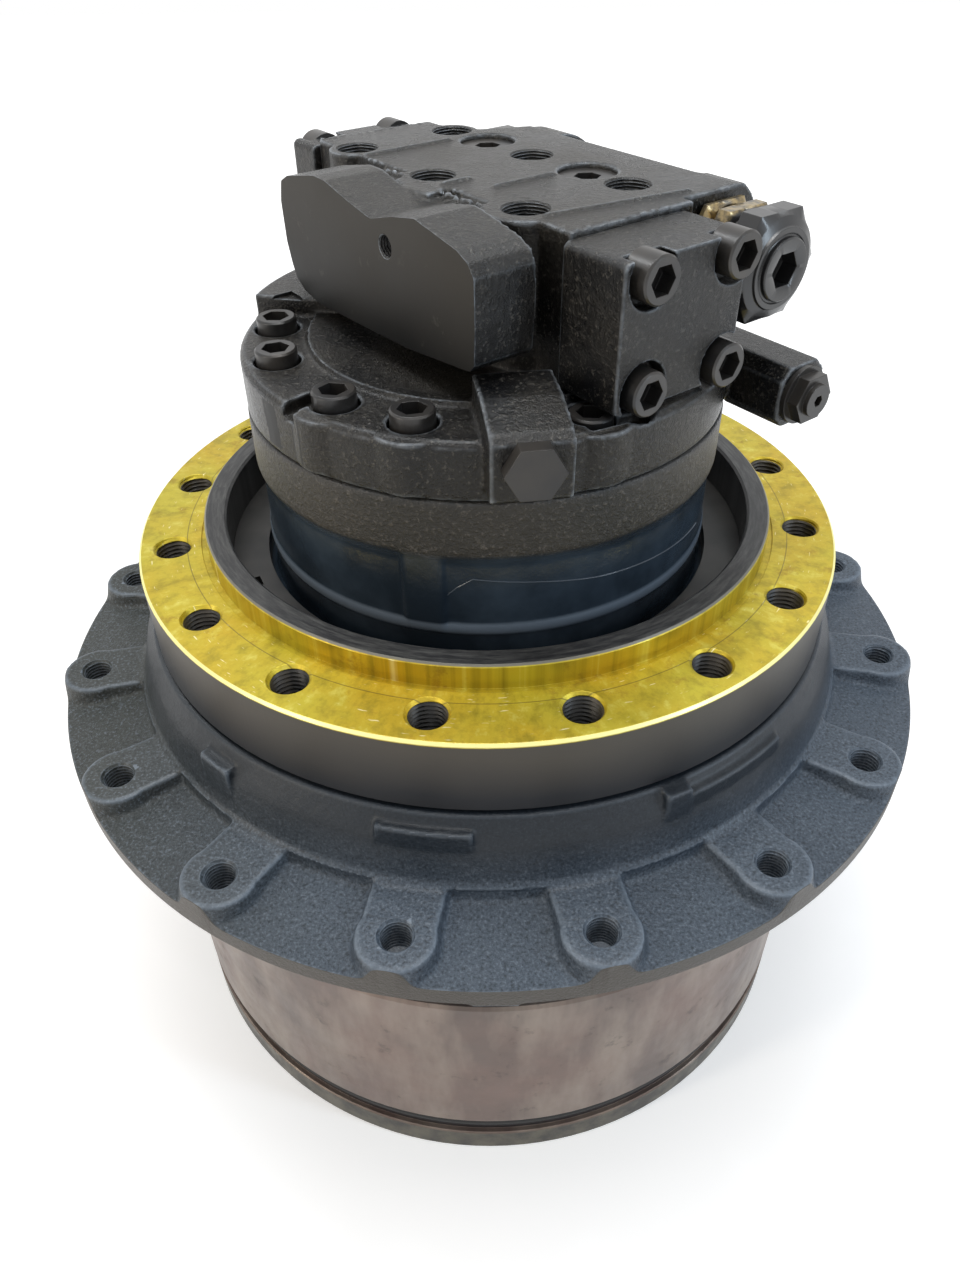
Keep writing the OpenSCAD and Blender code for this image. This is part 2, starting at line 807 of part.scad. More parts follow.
module turning_seal_ring() {
    color([0.62, 0.62, 0.62]) rotate_extrude()
        translate([0, seal_z - eps]) mirror([0, 1]) seal_ring_section();
}

module turning_seal_o_ring() {
    color([0.05, 0.05, 0.05]) rotate_extrude()
        translate([196.05, seal_z - 12.5]) circle(r=o_ring_r, $fn=32);
}

// Hub with the sprocket flange

neck_r = 240;
hub_r = 250;
sprocket_pilot_r = 256;
pocket_depth = 8;

// Everything of the flange's upper side that lies lower than the bolt bosses
module flange_pockets() {
    inner_r = 248;
    half = 20.5;
    draft = 4;
    depth = 15;
    top = half - 2 * draft / depth;
    difference() {
        rotate_extrude($fn=180) polygon([[inner_r - 1, flange_z + 1],
            [inner_r + 1, flange_z - pocket_depth], [320, flange_z - pocket_depth - 6.5],
            [320, flange_z + 1]]);
        for (i = [0:sprocket_holes - 1]) rotate([0, 0, sprocket_phase + i * 360 / sprocket_holes]) {
            translate([sprocket_pcd / 2, 0, flange_z - depth])
                cylinder(r1=half + 1 + draft, r2=half + 1, h=depth + 2);
            translate([230, 0, flange_z]) rotate([90, 0, 90])
                linear_extrude(sprocket_pcd / 2 - 230) polygon([[-half - draft, -depth],
                    [half + draft, -depth], [top, 2], [-top, 2]]);
        }
    }
}

// Part of a ring on the neck, from one angle to another
module neck_pad(a0, a1, ro, z0, z1) {
    intersection() {
        tube(ro, 226, z0, z1);
        translate([0, 0, z0 - 1]) linear_extrude(z1 - z0 + 2)
            polygon([[0, 0], for (i = [0:4]) let(a = a0 + (a1 - a0) * i / 4)
                [300 * cos(a), 300 * sin(a)]]);
    }
}

module hub() {
    color([0.16, 0.17, 0.18]) difference() {
        union() {
            rotate_extrude($fn=180) polygon([
                [208.5, hub_top], [neck_r - 8, hub_top], [neck_r - 2, -64],
                [neck_r, -69], [neck_r + 2, -76], [neck_r + 6, flange_z + 3],
                [neck_r + 10, flange_z], [sprocket_r - 1, flange_z],
                [sprocket_r, flange_z - 1], [sprocket_r, flange_low + 1],
                [sprocket_r - 1, flange_low], [sprocket_pilot_r, flange_low],
                [sprocket_pilot_r, flange_low - 12], [hub_r, flange_low - 20],
                [hub_r, ring_top + eps], [race_od_r, ring_top + eps],
                [race_od_r, bearing2_z + bearing_w],
                [188, bearing2_z + bearing_w], [188, bearing1_z - bearing_w],
                [race_od_r, bearing1_z - bearing_w],
                [race_od_r, -84], [seal_bore_r, -84], [seal_bore_r, -60],
                [208.5, -60]]);
            for (p = [[255, 268, 1, -58], [294, 298, 1, -52.5], [298, 316, 0, -58],
                [226, 232, 4, -60], [326, 330, -4, -58], [60, 90, 1, -58], [140, 160, 1, -58]])
                neck_pad(p[0], p[1], neck_r + p[2], -90, p[3]);
            // Cast nub under the flange
            rotate([0, 0, -89.5]) translate([sprocket_r - 10, -13, flange_low - 5])
                cube([9, 26, 6]);
        }
        flange_pockets();
        around(sprocket_holes, sprocket_pcd / 2, sprocket_phase) translate([0, 0, flange_z])
            tapped(sprocket_hole_r, sprocket_t + 1);
        around(cover_bolt_n, cover_bolt_pcr) translate([0, 0, ring_top])
            mirror([0, 0, 1]) tapped(cover_bolt_r + fit, 34, 0.8);
    }
}

module ring_gear() {
    color([0.42, 0.33, 0.29]) difference() {
        rotate_extrude($fn=180) polygon([
            [ring_tip_r - 2, ring_top], [drum_r - 2, ring_top], [drum_r, ring_top - 2],
            [drum_r, cover_top + 4], [drum_r - 4, cover_top], [ring_tip_r - 2, cover_top]]);
        translate([0, 0, cover_top - 1]) rotate([0, 0, 180 / ring_teeth])
            linear_extrude(ring_top - cover_top + 2) polygon(gear_outline(ring_teeth, -thin,
                ring_tip_r, ring_pr + dedendum));
        around(cover_bolt_n, cover_bolt_pcr) disc(cover_bolt_r + 0.7, cover_top - 1, ring_top + 1);
    }
}

module end_cover() {
    neck = drum_r - 4;
    color([0.42, 0.33, 0.29]) difference() {
        rotate_extrude($fn=180) polygon([
            [0, recess_z], [198, recess_z], [200, cover_top - eps], [neck, cover_top - eps],
            [neck, cover_top - 9], [neck - 1.5, cover_top - 10], [neck, cover_top - 11],
            [neck, cover_top - 15], [drum_r - 1, cover_top - 15], [drum_r, cover_top - 16],
            [drum_r, cover_low + 2], [drum_r - 2, cover_low],
            [205, cover_low], [200, cover_low + 3], [0, cover_low + 3]]);
        rotate_extrude($fn=180) translate([neck, cover_top - 4]) circle(r=2.45, $fn=32);
        around(cover_bolt_n, cover_bolt_pcr) {
            disc(cover_bolt_r + 0.7, cover_low - 1, cover_top + 1, $fn=48);
            disc(13.5, cover_low - 1, cover_low + 17, $fn=48);
        }
        around(3, plug_cr, 30) disc(12.05, cover_low - 1, recess_z + 1, $fn=48);
    }
}

module cover_bolts() {
    color([0.08, 0.08, 0.09]) around(cover_bolt_n, cover_bolt_pcr)
        translate([0, 0, cover_low + 17]) mirror([0, 0, 1])
            socket_screw(cover_bolt_r, 12, 16, 204, 14);
}

module cover_plugs() {
    color([0.15, 0.15, 0.15]) around(3, plug_cr, 30) translate([0, 0, cover_low + 3])
        difference() {
            cylinder(r=12, h=16, $fn=48);
            translate([0, 0, -1]) hex(10, 9);
        }
}

module thrust_pad() {
    color([0.60, 0.50, 0.30]) disc(30, recess_z + eps, planet1_low - 2.5);
}

module cover_o_ring() {
    color([0.03, 0.03, 0.03]) rotate_extrude($fn=180)
        translate([drum_r - 4, cover_top - 4]) circle(r=2.4, $fn=32);
}

// Second stage: planets on the fixed carrier

module fixed_carrier() {
    plate_r = 184;
    low_r = 166;
    color([0.33, 0.33, 0.34]) difference() {
        union() {
            tube(plate_r, 45, -242, spindle_low - eps);
            tube(low_r, 62.5, -306, -296);
            around(planet2_n, web_cr, 45) disc(web_r, -300, -240);
        }
        around(planet2_n, planet2_cr) disc(pin2_r + fit, -310, -220);
        around(planet2_n, web_cr, 45) {
            disc(10.2, -310, -220, $fn=48);
            disc(15.5, -310, -285, $fn=48);
        }
    }
}

module fixed_carrier_pins() {
    color([0.68, 0.68, 0.70]) around(planet2_n, planet2_cr) disc(pin2_r, -306, -224.1);
}

module fixed_carrier_rollers() {
    color([0.76, 0.76, 0.78]) around(planet2_n, planet2_cr)
        around(18, pin2_r + roller2_r + 0.1) disc(roller2_r, planet2_low + 2, planet2_top - 2,
            $fn=24);
}

module fixed_carrier_bolts() {
    color([0.12, 0.12, 0.12]) around(planet2_n, web_cr, 45) translate([0, 0, -285])
        mirror([0, 0, 1]) socket_screw(10, 15, 19, 95, 17);
}

module second_planet(i) {
    at = i * 360 / planet2_n;
    phase = planet_phase(at, sun2_teeth, planet2_teeth, 0);
    color([0.55, 0.56, 0.58]) rotate([0, 0, at]) translate([planet2_cr, 0, 0])
        rotate([0, 0, phase - at]) difference() {
            gear(planet2_teeth, planet2_low, planet2_top);
            disc(bore2_r, -400, -200);
        }
}

module second_sun_gear() {
    color([0.60, 0.61, 0.63]) difference() {
        union() {
            gear(sun2_teeth, -294, -248);
            disc(44, -324, -294 + eps);
            disc(50, -324, -321 - eps);
        }
        disc(24, -400, -200);
    }
}

// First stage: planets on the turning carrier

module turning_carrier() {
    color([0.36, 0.36, 0.37]) difference() {
        disc(150, -321, -309);
        disc(44 + fit, -400, -200);
        around(planet1_n, planet1_cr) disc(pin1_r + fit, -400, -200);
        around(planet1_n, 135, 60) disc(32, -400, -200);
    }
}

module turning_carrier_pins() {
    color([0.68, 0.68, 0.70]) around(planet1_n, planet1_cr) {
        disc(pin1_r, planet1_low - 0.5, -309);
        disc(pin1_r + 7, planet1_top + 0.3, -321 - eps);
    }
}

module turning_carrier_rollers() {
    color([0.76, 0.76, 0.78]) around(planet1_n, planet1_cr)
        around(16, pin1_r + roller1_r + 0.1) disc(roller1_r, planet1_low + 1.5,
            planet1_top - 1.5, $fn=24);
}

module pin_retainers() {
    color([0.20, 0.20, 0.20]) around(planet1_n, planet1_cr)
        translate([0, 0, planet1_low - 3.5]) {
            cylinder(r=33, h=3 - eps);
            translate([0, 0, -5]) hex(19, 5 + eps);
        }
}

module first_planet(i) {
    at = i * 360 / planet1_n;
    phase = planet_phase(at, sun1_teeth, planet1_teeth, 180 / sun1_teeth);
    color([0.55, 0.56, 0.58]) rotate([0, 0, at]) translate([planet1_cr, 0, 0])
        rotate([0, 0, phase - at]) difference() {
            gear(planet1_teeth, planet1_low, planet1_top);
            disc(bore1_r, -400, -200);
        }
}

// Counterbalance valve

module counterbalance_spool() {
    color([0.70, 0.70, 0.72]) along_block(0, spool_w, spool_z) difference() {
        disc(spool_r - fit, spool_u0 + spool_end, block_u1 - spool_end);
        for (u = [-80, -45, 10, 45]) tube(spool_r + 1, spool_r - 5, u - 9, u + 9);
    }
}

// Coil spring between two heights
module coil(r, wire, z0, z1, turns) {
    per_turn = 16;
    sides = 6;
    n = per_turn * turns;
    rise = (z1 - z0) / turns / (2 * PI * r);
    pts = [for (i = [0:n]) let(a = i * 360 / per_turn, z = z0 + (z1 - z0) * i / n)
        for (j = [0:sides - 1]) let(b = j * 360 / sides, out = wire * cos(b), up = wire * sin(b))
            [(r + out) * cos(a) + up * rise * sin(a),
             (r + out) * sin(a) - up * rise * cos(a), z + up]];
    faces = concat(
        [[for (j = [0:sides - 1]) j]],
        [[for (j = [sides - 1:-1:0]) n * sides + j]],
        [for (i = [0:n - 1]) for (j = [0:sides - 1]) let(k = (j + 1) % sides)
            [i * sides + j, i * sides + sides + j, i * sides + sides + k, i * sides + k]]);
    polyhedron(faces=faces, points=pts);
}

module spool_springs() {
    color([0.50, 0.52, 0.55]) along_block(0, spool_w, spool_z) {
        coil(12, 2, block_u1 - spool_end + 2.2, block_u1 + chamber - 2.2, 5);
        coil(12, 2, spool_u0 - chamber + 2.2, spool_u0 + spool_end - 2.2, 5);
    }
}

frame_housing();
lock_ring();
motor_casing();
rear_casing();
casing_bolts();
front_spool_cap();
rear_spool_cap();
cap_bolts();
front_relief_valve();
rear_relief_valve();
two_speed_plug();
side_plug();
gallery_plugs();
valve_plate();
swash_plate();
shaft_bearings();
shaft_seal();
brake_plates();
brake_springs();
inner_races();
main_bearing_rollers();
bearing_nut();
fixed_carrier();
fixed_carrier_pins();
fixed_carrier_rollers();
fixed_carrier_bolts();
fixed_seal_ring();
fixed_seal_o_ring();
hub();
ring_gear();
end_cover();
cover_bolts();
cover_plugs();
thrust_pad();
outer_races();
turning_seal_ring();
turning_seal_o_ring();
cover_o_ring();
turning_carrier();
turning_carrier_pins();
turning_carrier_rollers();
pin_retainers();
second_sun_gear();
motor_shaft();
coupling_sleeve();
first_sun_gear();
cylinder_block();
pistons();
retainer_plate();
friction_plates();
first_planet(0);  // first_planet_1
first_planet(1);  // first_planet_2
first_planet(2);  // first_planet_3
second_planet(0);  // second_planet_1
second_planet(1);  // second_planet_2
second_planet(2);  // second_planet_3
second_planet(3);  // second_planet_4
brake_piston();
counterbalance_spool();
spool_springs();
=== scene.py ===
import json
import math
import random

import bmesh
import bpy
from mathutils import Matrix, Vector

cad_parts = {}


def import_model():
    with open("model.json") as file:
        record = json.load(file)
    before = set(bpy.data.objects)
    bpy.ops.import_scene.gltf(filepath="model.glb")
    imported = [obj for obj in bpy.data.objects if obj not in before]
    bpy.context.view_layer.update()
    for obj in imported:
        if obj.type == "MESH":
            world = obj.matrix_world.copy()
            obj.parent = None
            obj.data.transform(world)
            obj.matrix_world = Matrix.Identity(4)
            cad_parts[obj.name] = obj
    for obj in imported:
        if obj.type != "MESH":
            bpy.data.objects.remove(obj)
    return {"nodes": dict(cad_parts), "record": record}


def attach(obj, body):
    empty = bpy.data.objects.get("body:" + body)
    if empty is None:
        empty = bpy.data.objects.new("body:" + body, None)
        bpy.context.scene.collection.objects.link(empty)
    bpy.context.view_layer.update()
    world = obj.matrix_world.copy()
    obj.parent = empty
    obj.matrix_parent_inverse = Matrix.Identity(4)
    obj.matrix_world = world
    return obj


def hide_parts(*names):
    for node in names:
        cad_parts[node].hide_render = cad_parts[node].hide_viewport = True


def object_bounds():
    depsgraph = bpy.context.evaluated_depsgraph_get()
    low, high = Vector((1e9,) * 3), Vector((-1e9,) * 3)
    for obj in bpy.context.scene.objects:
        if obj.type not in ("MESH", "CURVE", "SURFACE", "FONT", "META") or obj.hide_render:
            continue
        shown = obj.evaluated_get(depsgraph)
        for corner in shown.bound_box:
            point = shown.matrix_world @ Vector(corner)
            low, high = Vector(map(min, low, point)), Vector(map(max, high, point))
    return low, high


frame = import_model()
cad_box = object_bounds()
nodes = frame["nodes"]

MM = 0.001
BLOCK_AZ = math.radians(-53)
random.seed(7)

# Camera and light

CAMERA_PLACE = (0, -0.573, 0.3508)
CAMERA_TURN = (39.435, -0.543, -0.811)
FOCAL_PIXELS, PHOTO_HEIGHT, SENSOR = 972.59, 1280, 36


def make_camera():
    """The photograph's camera, from its pitch, yaw and roll in degrees."""
    pitch, yaw, roll = (math.radians(v) for v in CAMERA_TURN)
    forward = Vector((math.sin(yaw) * math.cos(pitch), math.cos(yaw) * math.cos(pitch), -math.sin(pitch)))
    right = forward.cross(Vector((0, 0, 1))).normalized()
    up = right.cross(forward)
    axis_x = math.cos(roll) * right + math.sin(roll) * up
    axis_y = -math.sin(roll) * right + math.cos(roll) * up
    data = bpy.data.cameras.new("camera")
    data.sensor_width = SENSOR
    data.lens = FOCAL_PIXELS / PHOTO_HEIGHT * SENSOR
    data.clip_start = 0.05
    data.clip_end = 50
    data.dof.use_dof = False
    camera = bpy.data.objects.new("camera", data)
    turn = Matrix((axis_x, axis_y, -forward)).transposed().to_4x4()
    camera.matrix_world = Matrix.Translation(CAMERA_PLACE) @ turn
    bpy.context.scene.collection.objects.link(camera)
    bpy.context.scene.camera = camera


def area_light(name, place, size, watts, color):
    """A soft lamp that looks at the middle of the drive."""
    data = bpy.data.lights.new(name, "AREA")
    data.shape = "RECTANGLE"
    data.size, data.size_y = size
    data.energy = watts
    data.color = color
    light = bpy.data.objects.new(name, data)
    light.location = place
    light.rotation_euler = (Vector((0, 0, -0.05)) - Vector(place)).to_track_quat("-Z", "Y").to_euler()
    bpy.context.scene.collection.objects.link(light)


# Node materials


class Shader:
    """A material's node tree with short calls for the nodes used here."""

    def __init__(self, name):
        self.material = bpy.data.materials.new(name)
        self.material.use_nodes = True
        self.tree = self.material.node_tree
        self.tree.nodes.clear()
        self.out = self.tree.nodes.new("ShaderNodeOutputMaterial")
        self.coord = self.tree.nodes.new("ShaderNodeTexCoord").outputs["Object"]

    def link(self, value, socket):
        if isinstance(value, bpy.types.NodeSocket):
            self.tree.links.new(value, socket)
        else:
            socket.default_value = value

    def math(self, how, a, b=0.0):
        n = self.tree.nodes.new("ShaderNodeMath")
        n.operation = how
        self.link(a, n.inputs[0])
        self.link(b, n.inputs[1])
        return n.outputs[0]

    def ramp(self, value, lo, hi, out_lo=0.0, out_hi=1.0):
        n = self.tree.nodes.new("ShaderNodeMapRange")
        n.clamp = True
        for k, v in enumerate((value, lo, hi, out_lo, out_hi)):
            self.link(v, n.inputs[k])
        return n.outputs[0]

    def step(self, value, place, width, out_lo=0.0, out_hi=1.0):
        """A ramp across a place on the object, in millimetres; a width below 0 falls."""
        return self.ramp(value, (place - width / 2) * MM, (place + width / 2) * MM, out_lo, out_hi)

    def noise(self, scale, detail=3.0, rough=0.5, vector=None):
        n = self.tree.nodes.new("ShaderNodeTexNoise")
        self.link(vector or self.coord, n.inputs["Vector"])
        n.inputs["Scale"].default_value = scale
        n.inputs["Detail"].default_value = detail
        n.inputs["Roughness"].default_value = rough
        return n.outputs["Fac"]

    def mix(self, factor, a, b):
        n = self.tree.nodes.new("ShaderNodeMix")
        n.data_type = "RGBA"
        self.link(factor, n.inputs[0])
        self.link(a, n.inputs[6])
        self.link(b, n.inputs[7])
        return n.outputs[2]

    def place(self):
        """X, Y and Z of a point on the object, in metres."""
        n = self.tree.nodes.new("ShaderNodeSeparateXYZ")
        self.tree.links.new(self.coord, n.inputs[0])
        return tuple(n.outputs)

    def polar(self):
        """Radius, angle and height of a point on the object, in metres and radians."""
        x, y, z = self.place()
        r = self.math("SQRT", self.math("ADD", self.math("MULTIPLY", x, x), self.math("MULTIPLY", y, y)))
        return r, self.math("ARCTAN2", y, x), z

    def vector(self, x, y, z):
        n = self.tree.nodes.new("ShaderNodeCombineXYZ")
        for k, v in enumerate((x, y, z)):
            self.link(v, n.inputs[k])
        return n.outputs[0]

    def bump(self, height, distance, strength=1.0, normal=None):
        n = self.tree.nodes.new("ShaderNodeBump")
        self.link(height, n.inputs["Height"])
        self.link(strength, n.inputs["Strength"])
        n.inputs["Distance"].default_value = distance
        if normal is not None:
            self.link(normal, n.inputs["Normal"])
        return n.outputs[0]

    def round_edges(self, radius):
        n = self.tree.nodes.new("ShaderNodeBevel")
        n.samples = 4
        n.inputs["Radius"].default_value = radius
        return n.outputs[0]

    def edges(self, lo, hi):
        """How far a dense mesh bulges at a point: 0 on flats, 1 on rounded edges."""
        n = self.tree.nodes.new("ShaderNodeNewGeometry")
        return self.ramp(n.outputs["Pointiness"], lo, hi)

    def surface(self, color, roughness, metallic=0.0, normal=None, coat=0.0, specular=0.5):
        n = self.tree.nodes.new("ShaderNodeBsdfPrincipled")
        self.link(color, n.inputs["Base Color"])
        self.link(roughness, n.inputs["Roughness"])
        self.link(metallic, n.inputs["Metallic"])
        n.inputs["Coat Weight"].default_value = coat
        n.inputs["Coat Roughness"].default_value = 0.12
        n.inputs["Specular IOR Level"].default_value = specular
        if normal is not None:
            self.link(normal, n.inputs["Normal"])
        self.tree.links.new(n.outputs[0], self.out.inputs[0])
        return self.material


def rgb(r, g, b):
    return (r, g, b, 1.0)


def black_casting():
    """Glossy black paint over a sand casting, with a painted highlight on every rounded edge."""
    s = Shader("black_casting")
    fine = s.noise(1000, 3, 0.6)
    grit = s.noise(420, 4, 0.65)
    lumps = s.noise(130, 3, 0.55)
    broad = s.noise(16, 4, 0.55)
    normal = s.bump(lumps, 0.0011, 0.5)
    normal = s.bump(grit, 0.0009, s.ramp(broad, 0.35, 0.65, 0.35, 0.9), normal)
    normal = s.bump(fine, 0.0004, 0.9, normal)
    color = s.mix(s.ramp(broad, 0.35, 0.65), rgb(0.005, 0.0055, 0.0065), rgb(0.020, 0.018, 0.015))
    color = s.mix(s.ramp(grit, 0.56, 0.70, 0, 0.8), color, rgb(0.10, 0.093, 0.082))
    color = s.mix(s.ramp(grit, 0.44, 0.34, 0, 0.8), color, rgb(0.003, 0.003, 0.004))
    # Painted highlight: rounded edges are lightened to a bluish grey
    wear_and_edge_highlight = s.math("MULTIPLY", s.edges(0.512, 0.56), s.ramp(lumps, 0.35, 0.6, 0.2, 0.85))
    color = s.mix(wear_and_edge_highlight, color, rgb(0.26, 0.285, 0.315))
    return s.surface(color, s.ramp(broad, 0.3, 0.7, 0.20, 0.36), normal=normal, specular=0.3)


def motor_casting():
    """Rough and brownish above the step, smooth and blue-black below it."""
    s = Shader("motor_casting")
    z = s.place()[2]
    fine = s.noise(900, 3, 0.6)
    grit = s.noise(380, 4, 0.65)
    broad = s.noise(16, 4, 0.55)
    height = s.math("ADD", z, s.math("MULTIPLY", s.noise(30, 3), 0.004))
    band = s.step(height, 57.5, 4)
    normal = s.bump(s.noise(60, 3, 0.5), 0.0016, 0.35)
    normal = s.bump(grit, 0.0009, s.ramp(band, 0, 1, 0.12, 0.9), normal)
    normal = s.bump(fine, 0.0003, s.ramp(band, 0, 1, 0.2, 0.9), normal)
    low = s.mix(s.ramp(broad, 0.4, 0.62), rgb(0.016, 0.024, 0.034), rgb(0.040, 0.057, 0.078))
    high = s.mix(s.ramp(broad, 0.35, 0.65), rgb(0.014, 0.014, 0.013), rgb(0.034, 0.031, 0.027))
    high = s.mix(s.ramp(grit, 0.55, 0.70, 0, 0.9), high, rgb(0.11, 0.10, 0.09))
    color = s.mix(band, low, high)
    # Painted highlight: a light bluish band on the lip at the foot of the casing
    lip = s.math("MULTIPLY", s.step(z, 9.5, -2), s.step(z, 2.5, 2))
    color = s.mix(s.math("MULTIPLY", lip, 0.8), color, rgb(0.17, 0.21, 0.26))
    # Painted highlight: rounded edges are lightened to a bluish grey
    color = s.mix(s.math("MULTIPLY", s.edges(0.53, 0.60), 0.5), color, rgb(0.15, 0.18, 0.22))
    rough = s.ramp(band, 0, 1, 0.22, 0.40)
    return s.surface(color, rough, normal=normal, specular=0.35)


def pad_paint():
    """Smooth paint on the faced pad, with a painted brownish grey reflection above that fades to nearly
    black below.
    """
    s = Shader("machined_black")
    z = s.place()[2]
    broad = s.noise(11, 4, 0.6)
    level = s.math("ADD", z, s.math("MULTIPLY", broad, 0.05))
    normal = s.bump(s.noise(70, 3, 0.5), 0.0003, 0.25, s.round_edges(0.0005))
    # Painted reflection: lighter brownish grey towards the top of the pad, nearly black below
    color = s.mix(s.step(level, 195, 60), rgb(0.007, 0.007, 0.007), rgb(0.036, 0.032, 0.026))
    color = s.mix(s.ramp(s.noise(90, 4, 0.7), 0.62, 0.72, 0, 0.5), color, rgb(0.075, 0.070, 0.062))
    return s.surface(color, s.ramp(broad, 0.3, 0.7, 0.34, 0.48), normal=normal, specular=0.15)


def dark_casting():
    """Bluish sand casting: grainy pocket floors, painted highlights on the edges, painted shade on the left
    side and on the neck, a turned brown rim.
    """
    s = Shader("dark_casting")
    r, angle, z = s.polar()
    fine = s.noise(900, 4, 0.62)
    grit = s.noise(560, 4, 0.68)
    broad = s.noise(9, 3, 0.5)
    pocket = s.math("MULTIPLY", s.step(z, -97.75, -2.5), s.step(r, 248, 4))
    normal = s.bump(s.noise(110, 2, 0.5), 0.0012, 0.4)
    normal = s.bump(grit, 0.0011, s.ramp(pocket, 0, 1, 0.22, 0.75), normal)
    normal = s.bump(fine, 0.0005, s.ramp(pocket, 0, 1, 0.35, 0.8), normal)
    color = s.mix(s.ramp(broad, 0.35, 0.7), rgb(0.046, 0.062, 0.084), rgb(0.064, 0.082, 0.106))
    # Painted shade: the left side of the flange is made darker and less blue
    left = s.step(s.math("MULTIPLY", r, s.math("COSINE", angle)), -160, -160)
    color = s.mix(left, color, rgb(0.037, 0.041, 0.038))
    color = s.mix(s.ramp(grit, 0.53, 0.68, 0, 0.7), color, rgb(0.150, 0.178, 0.215))
    color = s.mix(s.ramp(grit, 0.47, 0.36, 0, 0.7), color, rgb(0.006, 0.008, 0.011))
    # Painted shade: the recessed neck under the flange is darkened nearly to black
    neck = s.step(r, 243.5, -7)
    color = s.mix(s.math("MULTIPLY", neck, 0.85), color, rgb(0.007, 0.010, 0.014))
    # Painted highlight: rounded edges are lightened to a bluish grey, less on the neck
    wear_and_edge_highlight = s.math("MULTIPLY", s.edges(0.51, 0.55), s.ramp(neck, 0, 1, 0.65, 0.25))
    color = s.mix(wear_and_edge_highlight, color, rgb(0.20, 0.24, 0.29))
    rim = s.step(r, 301.15, 0.3)
    color = s.mix(rim, color, rgb(0.075, 0.066, 0.056))
    rough = s.ramp(broad, 0.3, 0.7, 0.34, 0.46)
    return s.surface(color, rough, normal=normal, specular=0.35)


def drum_steel():
    """Turned cast iron with a mauve-brown film, cloudy, with an oily lower band."""
    s = Shader("drum_steel")
    angle, z = s.polar()[1:]
    turning = s.vector(s.math("MULTIPLY", z, 900), s.math("MULTIPLY", angle, 2.0), 0.0)
    rings = s.noise(1.0, 3, 0.6, turning)
    cloud = s.noise(8, 4, 0.6)
    spots = s.noise(40, 5, 0.7)
    down = s.vector(s.math("MULTIPLY", z, 8), s.math("MULTIPLY", angle, 6.0), 3.0)
    reflection_streak = s.noise(1.0, 4, 0.6, down)
    color = s.mix(s.ramp(cloud, 0.35, 0.65), rgb(0.205, 0.142, 0.120), rgb(0.130, 0.105, 0.093))
    # Painted reflection: lighter streaks standing in for reflected strip lamps
    color = s.mix(s.ramp(reflection_streak, 0.42, 0.66, 0, 0.6), color, rgb(0.36, 0.30, 0.25))
    color = s.mix(s.ramp(spots, 0.60, 0.72, 0, 0.6), color, rgb(0.050, 0.046, 0.046))
    groove = s.math("MULTIPLY", s.step(z, -358, -0.2), s.step(z, -376.8, 0.2))
    color = s.mix(groove, color, rgb(0.010, 0.010, 0.012))
    oil = s.mix(s.ramp(spots, 0.4, 0.6), rgb(0.100, 0.088, 0.060), rgb(0.045, 0.042, 0.036))
    color = s.mix(s.step(z, -378, -2), color, oil)
    metal = s.math("MULTIPLY", s.math("SUBTRACT", 1.0, groove), 0.6)
    normal = s.bump(rings, 0.00006, 0.35, s.round_edges(0.0005))
    normal = s.bump(s.noise(260, 3, 0.6), 0.00012, 0.25, normal)
    return s.surface(color, s.ramp(spots, 0.3, 0.7, 0.30, 0.46), metal, normal)


